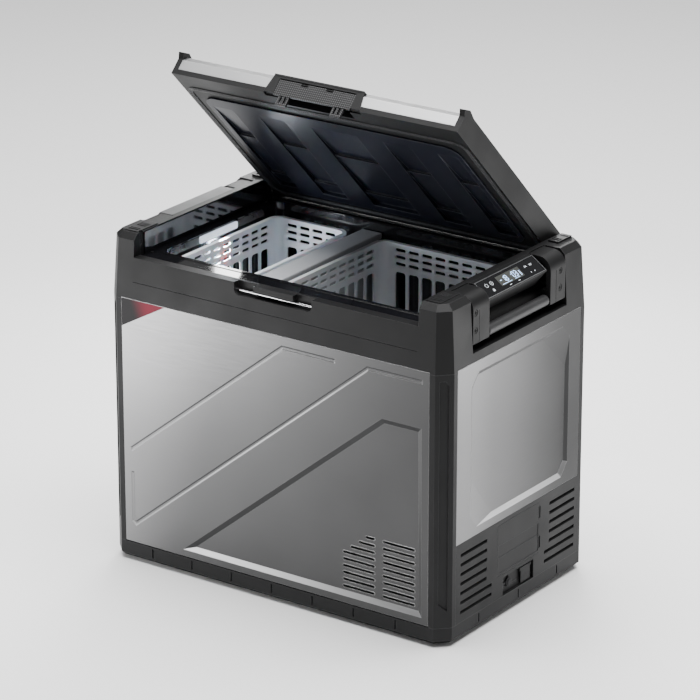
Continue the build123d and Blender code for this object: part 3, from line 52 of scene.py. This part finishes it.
MM = 0.001
LID_OPEN = math.radians(45)    # how far the lid stands open in the frame
X_AXIS, Y_AXIS, Z_AXIS = Vector((1, 0, 0)), Vector((0, 1, 0)), Vector((0, 0, 1))


# ---- materials ----
class Shader:
    """A principled material with object-space procedural detail."""

    def __init__(self, name, colour, rough, metal=0.0):
        self.material = bpy.data.materials.new(name)
        self.material.use_nodes = True
        self.tree = self.material.node_tree
        self.main = self.tree.nodes["Principled BSDF"]
        self.colour = (*colour, 1.0)
        self.main.inputs["Base Color"].default_value = self.colour
        self.main.inputs["Roughness"].default_value = rough
        self.main.inputs["Metallic"].default_value = metal
        self.rough = rough
        self.place = self.node("ShaderNodeTexCoord").outputs["Object"]
        self.normal = None

    def node(self, kind, **values):
        made = self.tree.nodes.new(kind)
        for key, value in values.items():
            setattr(made, key, value)
        return made

    def link(self, source, target):
        self.tree.links.new(source, target)

    def noise(self, scale, detail=2.0, stretch=None):
        """Noise value at a scale in features per metre, drawn out along an axis if asked."""
        place = self.place
        if stretch:
            mapping = self.node("ShaderNodeMapping")
            mapping.inputs["Scale"].default_value = stretch
            self.link(place, mapping.inputs["Vector"])
            place = mapping.outputs["Vector"]
        texture = self.node("ShaderNodeTexNoise")
        texture.inputs["Scale"].default_value = scale
        texture.inputs["Detail"].default_value = detail
        self.link(place, texture.inputs["Vector"])
        return texture.outputs["Fac"]

    def remap(self, value, low, high, start=0.3, end=0.7):
        ramp = self.node("ShaderNodeMapRange")
        ramp.inputs["From Min"].default_value = start
        ramp.inputs["From Max"].default_value = end
        ramp.inputs["To Min"].default_value = low
        ramp.inputs["To Max"].default_value = high
        self.link(value, ramp.inputs["Value"])
        return ramp.outputs["Result"]

    def rounded(self, radius):
        """Normal that rounds sharp edges, for highlights along them."""
        bevel = self.node("ShaderNodeBevel", samples=4)
        bevel.inputs["Radius"].default_value = radius
        self.normal = bevel.outputs["Normal"]
        return self

    def bump(self, height, distance, strength=1.0):
        node = self.node("ShaderNodeBump")
        node.inputs["Strength"].default_value = strength
        node.inputs["Distance"].default_value = distance
        self.link(height, node.inputs["Height"])
        if self.normal:
            self.link(self.normal, node.inputs["Normal"])
        self.normal = node.outputs["Normal"]
        return self

    def edge_mask(self, radius, gain):
        """Up to the gain on edges, 0 on faces."""
        bevel = self.node("ShaderNodeBevel", samples=4)
        bevel.inputs["Radius"].default_value = radius
        geometry = self.node("ShaderNodeNewGeometry")
        dot = self.node("ShaderNodeVectorMath", operation="DOT_PRODUCT")
        self.link(bevel.outputs["Normal"], dot.inputs[0])
        self.link(geometry.outputs["Normal"], dot.inputs[1])
        return self.remap(dot.outputs["Value"], gain, 0.0, 0.75, 0.99)

    def tint(self, mask, colour):
        """Mixes another colour in where a mask is high."""
        mix = self.node("ShaderNodeMix", data_type="RGBA")
        current = self.main.inputs["Base Color"]
        if current.links:
            self.link(current.links[0].from_socket, mix.inputs["A"])
        else:
            mix.inputs["A"].default_value = self.colour
        mix.inputs["B"].default_value = (*colour, 1.0)
        self.link(mask, mix.inputs["Factor"])
        self.link(mix.outputs["Result"], current)
        return self

    def across(self, direction, start, end):
        """0 to 1 between two places along a direction, in metres, eased at both ends."""
        dot = self.node("ShaderNodeVectorMath", operation="DOT_PRODUCT")
        self.link(self.place, dot.inputs[0])
        dot.inputs[1].default_value = direction
        ramp = self.node("ShaderNodeMapRange", interpolation_type="SMOOTHSTEP")
        ramp.inputs["From Min"].default_value = start
        ramp.inputs["From Max"].default_value = end
        self.link(dot.outputs["Value"], ramp.inputs["Value"])
        return ramp.outputs["Result"]

    def vary_rough(self, value, spread):
        self.link(self.remap(value, self.rough - spread, self.rough + spread), self.main.inputs["Roughness"])
        return self

    def set(self, **sockets):
        for key, value in sockets.items():
            self.main.inputs[key.replace("_", " ")].default_value = value
        return self

    def done(self):
        if self.normal:
            self.link(self.normal, self.main.inputs["Normal"])
        return self.material


def moulded_black():
    """Spark-eroded black ABS: fine grain, with a painted highlight along the edges."""
    look = Shader("black_abs", (0.006, 0.006, 0.0063), 0.5)
    look.rounded(0.9 * MM)
    look.vary_rough(look.noise(14, 3), 0.05)
    look.tint(look.remap(look.noise(9, 4), 0.0, 0.5), (0.009, 0.009, 0.0095))
    # painted highlight: edges are lightened to stand in for light caught along them
    look.tint(look.edge_mask(1.2 * MM, 0.6), (0.09, 0.09, 0.094))
    look.set(Specular_IOR_Level=0.22)
    return look.bump(look.noise(1700, 2), 0.06 * MM, 0.55).done()


DOT_PITCH = 3.6 * MM           # between the raised dots of the latch grip


def knurled_black():
    """Black ABS with rows of small raised dots, square to the open lid; the dot tops carry a painted
    highlight.
    """
    look = Shader("knurled_abs", (0.0065, 0.0065, 0.007), 0.45)
    look.rounded(0.5 * MM)
    turned = look.node("ShaderNodeMapping")
    turned.inputs["Rotation"].default_value = (LID_OPEN, 0, 0)
    look.link(look.place, turned.inputs["Vector"])
    dots = look.node("ShaderNodeTexVoronoi")
    dots.inputs["Scale"].default_value = 1 / DOT_PITCH
    dots.inputs["Randomness"].default_value = 0.0
    look.link(turned.outputs["Vector"], dots.inputs["Vector"])
    raised = look.remap(dots.outputs["Distance"], 1.0, 0.0, 0.12, 0.42)
    # painted highlight: the dot tops are lightened as if catching the light
    look.tint(raised, (0.11, 0.11, 0.114))
    look.bump(raised, 0.35 * MM)
    return look.set(Specular_IOR_Level=0.25).done()


def corner_label():
    """Plain glossy label that fades from black to crimson; nothing is printed on it."""
    look = Shader("corner_label", (0.006, 0.006, 0.007), 0.45)
    look.tint(look.across((1, 0, 0.35), -0.125, -0.085), (0.20, 0.006, 0.024))
    look.tint(look.remap(look.noise(900, 2), 0.0, 0.2), (0.03, 0.02, 0.022))
    return look.set(Specular_IOR_Level=0.15).done()


def gloss_black(name="gloss_black", rough=0.07):
    """Polished black moulding with a thin clear coat and a little dust."""
    look = Shader(name, (0.006, 0.006, 0.007), rough)
    look.rounded(0.6 * MM)
    look.vary_rough(look.noise(60, 3), rough * 0.3)
    look.tint(look.remap(look.noise(900, 2), 0.0, 0.25, 0.6, 0.85), (0.02, 0.02, 0.022))
    return look.set(Coat_Weight=0.5, Coat_Roughness=0.03).done()


def satin_steel(name="satin_steel", painted_gradients=()):
    """Satin sheet steel with a faint rolled grain.

    Each painted gradient is painted light and shade: a soft change of tone across a sheet, given as
    direction, start, end and tone.
    Faces that look down are darkened with painted shade, faces that look up are lightened with a painted
    highlight, and edges get a painted highlight.
    """
    look = Shader(name, (0.15, 0.15, 0.152), 0.36, 1.0)
    look.rounded(1.1 * MM)
    # painted light and shade: each gradient lightens or darkens the sheet's colour across it
    for direction, start, end, tone in painted_gradients:
        look.tint(look.across(direction, start, end), (tone, tone, tone * 1.01))
    grain = look.noise(900, 3, (0.03, 0.03, 1.0))
    look.vary_rough(grain, 0.035)
    look.tint(look.remap(look.noise(3.5, 3), 0.0, 0.12), (0.19, 0.19, 0.192))
    # painted shade on faces that look down and painted highlight on faces that look up
    facing = look.node("ShaderNodeSeparateXYZ")
    look.link(look.node("ShaderNodeNewGeometry").outputs["Normal"], facing.inputs["Vector"])
    look.tint(look.remap(facing.outputs["Z"], 0.9, 0.0, -0.38, -0.12), (0.03, 0.03, 0.031))
    look.tint(look.remap(facing.outputs["Z"], 0.0, 0.8, 0.12, 0.38), (0.45, 0.45, 0.455))
    # painted highlight along the sheet's edges
    look.tint(look.edge_mask(1.4 * MM, 0.6), (0.72, 0.72, 0.725))
    return look.bump(grain, 0.008 * MM, 0.25).done()


def rubber(name, colour, rough, edge=None):
    """Dull coating or rubber, with a painted highlight along the edges if asked."""
    look = Shader(name, colour, rough)
    look.rounded(0.8 * MM)
    look.tint(look.remap(look.noise(45, 4), 0.0, 0.4), tuple(part * 1.5 for part in colour))
    # painted highlight along the edges
    if edge:
        look.tint(look.edge_mask(0.9 * MM, 0.9), edge)
    look.set(Specular_IOR_Level=0.3)
    return look.bump(look.noise(2400, 2), 0.04 * MM, 0.5).done()


def soft_plastic(name, colour, rough, depth=0.0):
    """Injection-moulded polypropylene, a little translucent."""
    look = Shader(name, colour, rough)
    look.rounded(0.8 * MM)
    look.tint(look.remap(look.noise(20, 3), 0.0, 0.35), tuple(part * 0.9 for part in colour))
    look.vary_rough(look.noise(30, 3), 0.05)
    look.bump(look.noise(1500, 2), 0.03 * MM, 0.3)
    look.set(Subsurface_Weight=depth, Subsurface_Scale=2 * MM)
    return look.done()


def metal(name, colour, rough, stretch=(1, 1, 1)):
    """Bare metal, its brush marks drawn out along an axis if asked."""
    look = Shader(name, colour, rough, 1.0)
    look.rounded(0.4 * MM)
    look.vary_rough(look.noise(700, 3, stretch), rough * 0.25)
    look.tint(look.remap(look.noise(30, 3), 0.0, 0.3), tuple(part * 0.8 for part in colour))
    return look.done()


def lid_lining():
    """Satin black vacuum-formed lining with a faint blue cast."""
    look = Shader("lid_lining", (0.008, 0.009, 0.015), 0.34)
    look.rounded(1.2 * MM)
    look.vary_rough(look.noise(8, 3), 0.04)
    # painted highlight along the lining's edges
    look.tint(look.edge_mask(1.8 * MM, 0.8), (0.16, 0.165, 0.18))
    look.set(Specular_IOR_Level=0.12)
    return look.bump(look.noise(1200, 2), 0.02 * MM, 0.35).done()


def glowing(name, colour, strength):
    """Print or screen that gives off its own light."""
    look = Shader(name, colour, 0.3)
    look.tint(look.remap(look.noise(800, 2), 0.0, 0.2), tuple(part * 0.9 for part in colour))
    return look.set(Emission_Color=(*colour, 1.0), Emission_Strength=strength).done()


def clear_lens():
    look = Shader("clear_lens", (0.93, 0.95, 1.0), 0.18)
    look.vary_rough(look.noise(500, 2), 0.05)
    return look.set(Transmission_Weight=0.85, IOR=1.49, Emission_Color=(0.8, 0.88, 1.0, 1.0),
                    Emission_Strength=0.5).done()


def foam():
    look = Shader("pu_foam", (0.78, 0.70, 0.45), 0.9)
    look.tint(look.noise(120, 5), (0.62, 0.52, 0.30))
    return look.bump(look.noise(600, 5), 0.5 * MM).done()


def circuit_board():
    look = Shader("circuit_board", (0.015, 0.09, 0.04), 0.35)
    look.tint(look.remap(look.noise(260, 1), 0.0, 0.6, 0.5, 0.6), (0.05, 0.22, 0.09))
    return look.done()


LOOKS = {
    "black_plastic": moulded_black(),
    "gloss_black": gloss_black(),
    "liner_plastic": gloss_black("liner_gloss", 0.16),
    "lid_plastic": lid_lining(),
    "steel": satin_steel(),
    "label": corner_label(),
    "rubber": rubber("rubber_black", (0.016, 0.016, 0.017), 0.7),
    "grip_rubber": rubber("grip_black", (0.035, 0.035, 0.036), 0.42),
    "pin_steel": metal("machined_steel", (0.50, 0.50, 0.52), 0.3),
    "chrome": metal("chrome", (0.82, 0.82, 0.84), 0.12, (0.05, 1, 1)),
    "white_plastic": soft_plastic("basket_white", (0.84, 0.86, 0.90), 0.35, 0.15),
    "grey_plastic": soft_plastic("divider_grey", (0.50, 0.51, 0.53), 0.42),
    "grey_cover": soft_plastic("cover_grey", (0.045, 0.046, 0.048), 0.5),
    "foam": foam(),
    "copper": metal("copper", (0.78, 0.42, 0.28), 0.28),
    "aluminium": metal("aluminium", (0.72, 0.73, 0.75), 0.35, (1, 1, 0.02)),
    "painted_steel": rubber("black_paint", (0.014, 0.014, 0.015), 0.3),
    "display_glass": gloss_black("display_gloss", 0.04),
    "lcd": glowing("lcd_back", (0.10, 0.13, 0.16), 0.12),
    "led": gloss_black("led_board", 0.3),
    "lens": clear_lens(),
    "board": circuit_board(),
    "bush": soft_plastic("acetal", (0.70, 0.69, 0.64), 0.35),
}

# nodes whose look differs from the rest of their slot
SPECIAL = {
    "latch_grip": knurled_black(),
    "case_screws": rubber("black_oxide", (0.0015, 0.0015, 0.0016), 0.6),
    "latch_spring": rubber("phosphated_spring", (0.004, 0.004, 0.0042), 0.5),
    # the gasket's lips carry a painted highlight
    "lid_gasket": rubber("gasket_rubber", (0.012, 0.012, 0.013), 0.5, (0.16, 0.16, 0.165)),
    # the condenser is made near black as painted shade, so the vent slots in front of it read dark
    "condenser": rubber("condenser_painted_shade", (0.008, 0.008, 0.0085), 0.5),
    # the tone changes across the front, end and lid sheets are painted light and shade
    "front_panel": satin_steel("front_steel", (((1, 0, -0.9), -0.72, 0.10, 0.055),
                                               ((-1, 0, 0.25), 0.18, 0.42, 0.24))),
    "right_panel": satin_steel("end_steel", (((0, 1, 0), -0.15, 0.16, 0.035),
                                             ((0, -1, 0), 0.06, 0.17, 0.20))),
    "lid_skin": satin_steel("lid_steel", (((1, 0, 0), -0.4, 0.4, 0.20),)),
}


def dress_frame():
    """Gives every piece of the frame its material."""
    slots = {part["node"]: part["material_slot"] for part in frame["record"]["subparts"]}
    for name, item in frame["nodes"].items():
        look = SPECIAL.get(name, LOOKS[slots[name]])
        if not item.material_slots:
            item.data.materials.append(look)
        for place in item.material_slots:
            place.material = look


dress_frame()


# ---- small trim ----
RIGHT, FRONT, REAR = cad_high[0], cad_low[1], cad_high[1]
TOP = 0.567                    # top of the cabinet's upper frame
RIM = 0.527                    # top of the glossy rim around the opening

GLASS_RUN, GLASS_FALL = 28.4, 19.8    # slope of the display glass, outwards and down
GLASS_SINK = 0.6               # glass below the edge of its housing, in millimetres
GLASS_SLOPE = Vector((GLASS_RUN, 0, -GLASS_FALL)).normalized()
GLASS_FACE = Vector((GLASS_FALL, 0, GLASS_RUN)).normalized()

# drawings on the glass are in millimetres: x back from the front of the cabinet, y up the slope
PRINT = (0.0, 0.12)            # print on the glass, between these heights above it
BACKLIGHT = (0.0, 0.06)
RAISED_LINE = (0.5, 0.85)      # line around the glass
LINE_WIDTH = 0.7
CHEVRON_UP = [(-2, -1.6), (-1.2, -1.6), (0, 1.2), (1.2, -1.6), (2, -1.6), (0, 2.4)]
CHEVRON_DOWN = [(-2, 1.6), (0, -2.4), (2, 1.6), (1.2, 1.6), (0, -1.2), (-1.2, 1.6)]
FIGURE_WIDTH = 0.52            # of a figure's height
FIGURE_STROKE = 0.13           # of a figure's height
FIGURE_PITCH = 7.4
SEGMENTS = {"0": "abcdef", "1": "bc", "3": "abcdg", "8": "abcdefg", "-": "g"}


def along(origin, right, up, normal):
    """Turns drawings in millimetres on a face into places in metres."""
    turn = Matrix((right, up, normal)).transposed().to_4x4()
    return Matrix.Translation(origin) @ turn @ Matrix.Scale(MM, 4)


def prism(shape, outline, low, high, offset=(0, 0)):
    """Closed counter-clockwise outline, drawn flat and raised between two heights."""
    moved = [(x + offset[0], y + offset[1]) for x, y in outline]
    rings = [[shape.verts.new((x, y, level)) for x, y in moved] for level in (low, high)]
    shape.faces.new(rings[0][::-1])
    shape.faces.new(rings[1])
    for index in range(len(outline)):
        after = (index + 1) % len(outline)
        shape.faces.new((rings[0][index], rings[0][after], rings[1][after], rings[1][index]))


def disc(radius, count=32):
    steps = [2 * math.pi * index / count for index in range(count)]
    return [(radius * math.cos(step), radius * math.sin(step)) for step in steps]


def bar(width, height):
    x, y = width / 2, height / 2
    return [(-x, -y), (x, -y), (x, y), (-x, y)]


def ring_part(shape, outer, inner, start, end, levels, offset):
    """Part of a flat ring between two angles in degrees."""
    count = max(6, int((end - start) / 12))
    steps = [math.radians(start + (end - start) * index / count) for index in range(count + 1)]
    for one, two in zip(steps, steps[1:]):
        corners = [(inner, one), (outer, one), (outer, two), (inner, two)]
        prism(shape, [(r * math.cos(a), r * math.sin(a)) for r, a in corners], *levels, offset)


def add_piece(name, shape, place, look, body="root", soften=0.0):
    """Turns a drawing into a piece that rides on a body."""
    mesh = bpy.data.meshes.new(name)
    bmesh.ops.remove_doubles(shape, verts=shape.verts, dist=1e-5)
    bmesh.ops.recalc_face_normals(shape, faces=shape.faces)
    shape.transform(place)
    shape.to_mesh(mesh)
    shape.free()
    item = bpy.data.objects.new(name, mesh)
    bpy.context.collection.objects.link(item)
    item.data.materials.append(look)
    if soften:
        bevel = item.modifiers.new("soften", "BEVEL")
        bevel.width = soften * MM
        bevel.segments = 3
        bevel.limit_method = "ANGLE"
    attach(item, body)
    return item


GLASS = along(Vector((RIGHT - 35 * MM, FRONT, TOP + 0.5 * MM)) - GLASS_FACE * GLASS_SINK * MM,
              Y_AXIS, -GLASS_SLOPE, GLASS_FACE)


def digit(shape, sign, place, height):
    """Seven-segment figure with its lower left corner at a place."""
    width, thick = height * FIGURE_WIDTH, height * FIGURE_STROKE
    half = height / 2
    spots = {"a": (0, height, 1), "g": (0, half, 1), "d": (0, 0, 1), "f": (0, half, 0),
             "b": (width, half, 0), "e": (0, 0, 0), "c": (width, 0, 0)}
    for letter in SEGMENTS[sign]:
        x, y, flat = spots[letter]
        if flat:
            size, middle = (width - thick, thick), (x + width / 2, y)
        else:
            size, middle = (thick, half - thick), (x, y + half / 2)
        prism(shape, bar(*size), *PRINT, (place[0] + middle[0], place[1] + middle[1]))


def make_screen():
    """Backlit screen with generic temperatures on it."""
    screen = bmesh.new()
    prism(screen, bar(64, 19), *BACKLIGHT, (208, -16))
    backlight = glowing("screen_backlight", (0.035, 0.037, 0.033), 0.5)
    add_piece("display_screen", screen, GLASS, backlight)
    figures = bmesh.new()
    for index, sign in enumerate("-18"):
        digit(figures, sign, (181 + index * FIGURE_PITCH, -20.5), 10)
    for index, sign in enumerate("03"):
        digit(figures, sign, (216 + index * FIGURE_PITCH, -20.5), 10)
    prism(figures, bar(1.0, 1.0), *PRINT, (213, -14))
    for index in range(4):
        prism(figures, bar(3.0, 1.2), *PRINT, (235.5, -22 + index * 2.6))
    prism(figures, bar(26, 0.6), *PRINT, (193, -23.4))
    prism(figures, bar(14, 0.6), *PRINT, (222, -23.4))
    add_piece("display_figures", figures, GLASS, glowing("cool_figures", (0.45, 0.66, 1.0), 2.4))


def make_key_symbols():
    icons = bmesh.new()
    power, menu, up, down, lock = (146, -13), (160, -13), (256, -13), (270, -13), (153, -25.5)
    ring_part(icons, 3.6, 3.0, 120, 420, PRINT, power)
    prism(icons, bar(0.7, 2.6), *PRINT, (power[0], power[1] + 2.8))
    ring_part(icons, 3.6, 3.0, 0, 360, PRINT, menu)
    prism(icons, bar(2.8, 0.6), *PRINT, menu)
    for outline, place in ((CHEVRON_UP, up), (CHEVRON_DOWN, down)):
        for shift in (-1.6, 1.6):
            prism(icons, outline, *PRINT, (place[0] + shift, place[1]))
    prism(icons, bar(4.2, 2.8), *PRINT, lock)
    ring_part(icons, 1.9, 1.3, 0, 180, PRINT, (lock[0], lock[1] + 1.4))
    for x in (196, 220):
        prism(icons, bar(5.0, 0.9), *PRINT, (x, -29))
    for x in (258, 268):
        prism(icons, disc(0.9, 16), *PRINT, (x, -26))
    add_piece("display_icons", icons, GLASS, glowing("white_icons", (0.70, 0.74, 0.78), 0.6))


def make_display_rim():
    """Bright satin line around the glass."""
    rim = bmesh.new()
    low, high = (126.2, -33.6), (289.8, -1.0)
    wide, tall = high[0] - low[0], high[1] - low[1]
    middle = ((low[0] + high[0]) / 2, (low[1] + high[1]) / 2)
    for sign in (-1, 1):
        prism(rim, bar(wide, LINE_WIDTH), *RAISED_LINE, (middle[0], middle[1] + sign * tall / 2))
        prism(rim, bar(LINE_WIDTH, tall - LINE_WIDTH), *RAISED_LINE,
              (middle[0] + sign * wide / 2, middle[1]))
    look = soft_plastic("rim_grey", (0.16, 0.165, 0.17), 0.3)
    add_piece("display_rim", rim, GLASS, look)


def make_pad_trim():
    """Raised bars and ridges moulded on the pads of the four corner blocks."""
    black = LOOKS["black_plastic"]
    for side, label in ((1, "right"), (-1, "left")):
        front_top = along(Vector((side * (RIGHT - 39 * MM), FRONT, TOP + 2 * MM)), X_AXIS, Y_AXIS, Z_AXIS)
        bars = bmesh.new()
        for y in (27, 32.5):
            prism(bars, bar(19, 2.4), -0.4, 1.0, (0, y))
        for index in range(9):
            prism(bars, bar(1.1, 15), -0.4, 0.8, (-8 + index * 2, 53))
        add_piece(f"front_pad_trim_{label}", bars, front_top, black, soften=0.25)
        rear_top = along(Vector((side * (RIGHT - 38.5 * MM), REAR, TOP + 3.5 * MM)), X_AXIS, Y_AXIS, Z_AXIS)
        ridges = bmesh.new()
        for y in (-50, -44, -26):
            prism(ridges, bar(13, 2.2), -0.4, 0.9, (0, y))
        add_piece(f"rear_pad_trim_{label}", ridges, rear_top, black, soften=0.25)


def make_rim_screws():
    """Small screws that hold the glossy rim, each with a raised cross."""
    head, ridge = 0.9, 1.15
    rim_top = along(Vector((0, 0, RIM)), X_AXIS, Y_AXIS, Z_AXIS)
    screws = bmesh.new()
    for x in (-272.5, 272.5):
        for y in (-160, 150):
            prism(screws, disc(2.4, 24), -0.3, head, (x, y))
            prism(screws, bar(2.6, 0.5), head, ridge, (x, y))
            prism(screws, bar(0.5, 1.05), head, ridge, (x, y - 0.775))
            prism(screws, bar(0.5, 1.05), head, ridge, (x, y + 0.775))
    add_piece("rim_screws", screws, rim_top, SPECIAL["case_screws"], soften=0.15)


def make_dc_cap():
    """Rubber cap in the low-voltage inlet, with its tab and strap."""
    socket = along(Vector((RIGHT - 6 * MM, FRONT, 0)), Y_AXIS, Z_AXIS, X_AXIS)
    y, z = 190, 50
    cap = bmesh.new()
    prism(cap, disc(8.2, 40), 0.0, 3.0, (y, z))
    prism(cap, disc(5.0, 32), 3.0, 4.2, (y, z))
    prism(cap, bar(5, 7), 0.3, 2.0, (y, z + 10.5))
    prism(cap, bar(18, 4), 0.0, 1.4, (y - 13, z))
    prism(cap, disc(3.4, 24), 1.4, 2.4, (y - 19, z))
    add_piece("dc_inlet_cap", cap, socket, LOOKS["rubber"], soften=0.4)


make_screen()
make_key_symbols()
make_display_rim()
make_pad_trim()
make_rim_screws()
make_dc_cap()


# ---- floor, light, camera ----
FLOOR_REACH = 30               # from its middle to its edge
SOFT_WHITE = (1, 1, 1)
COOL_WHITE = (0.86, 0.92, 1.0)
WORLD_STRENGTH = 0.18
# place, target, size, watts, spread in degrees and colour of each light
LIGHTS = {
    "top": ((0.0, 0.3, 3.6), (0, 0, 0), (4.0, 4.0), 460, 180, SOFT_WHITE),
    "front_strip": ((-0.66, -0.78, 0.27), (-0.12, -0.1, 0.33), (0.45, 0.42), 1.7, 110, SOFT_WHITE),
    "right_strip": ((0.92, 0.62, 0.30), (0.3, -0.05, 0.33), (0.26, 0.45), 0.8, 110, SOFT_WHITE),
    "led_glow": ((-0.25, 0.0, 0.512), (0.2, 0.0, 0.40), (0.02, 0.10), 0.9, 160, COOL_WHITE),
    "rear_strip": ((-0.9, 1.5, 0.9), (0, 0, 0.4), (0.8, 0.6), 10, 120, SOFT_WHITE),
}

CAMERA_AZIMUTH = 35.15
CAMERA_ELEVATION = 20.57
CAMERA_PLACE = (3.3879, -4.8058, 2.5749)
LENS_MM = 199.72
SENSOR_MM = 36.0


def make_floor():
    mesh = bpy.data.meshes.new("floor")
    shape = bmesh.new()
    bmesh.ops.create_grid(shape, x_segments=1, y_segments=1, size=FLOOR_REACH)
    shape.to_mesh(mesh)
    shape.free()
    floor = bpy.data.objects.new("floor", mesh)
    bpy.context.collection.objects.link(floor)
    look = Shader("floor_paint", (0.92, 0.92, 0.92), 0.7)
    floor.data.materials.append(look.done())


def make_light(name, place, target, size, power, spread, colour):
    data = bpy.data.lights.new(name, "AREA")
    data.shape = "RECTANGLE"
    data.size, data.size_y = size
    data.energy = power
    data.color = colour
    data.spread = math.radians(spread)
    light = bpy.data.objects.new(name, data)
    bpy.context.collection.objects.link(light)
    light.location = place
    light.rotation_euler = (Vector(target) - Vector(place)).to_track_quat("-Z", "Y").to_euler()
    light.visible_camera = False


def make_world():
    world = bpy.data.worlds.new("studio")
    bpy.context.scene.world = world
    world.use_nodes = True
    background = world.node_tree.nodes["Background"]
    background.inputs["Color"].default_value = (*SOFT_WHITE, 1)
    background.inputs["Strength"].default_value = WORLD_STRENGTH


def make_camera():
    turn, lift = math.radians(CAMERA_AZIMUTH), math.radians(CAMERA_ELEVATION)
    back = Vector((math.sin(turn) * math.cos(lift), -math.cos(turn) * math.cos(lift), math.sin(lift)))
    data = bpy.data.cameras.new("camera")
    data.sensor_width = SENSOR_MM
    data.lens = LENS_MM
    data.clip_end = 100
    camera = bpy.data.objects.new("camera", data)
    bpy.context.collection.objects.link(camera)
    camera.location = CAMERA_PLACE
    camera.rotation_euler = (-back).to_track_quat("-Z", "Y").to_euler()
    bpy.context.scene.camera = camera


make_floor()
for light_name, settings in LIGHTS.items():
    make_light(light_name, *settings)
make_world()
make_camera()
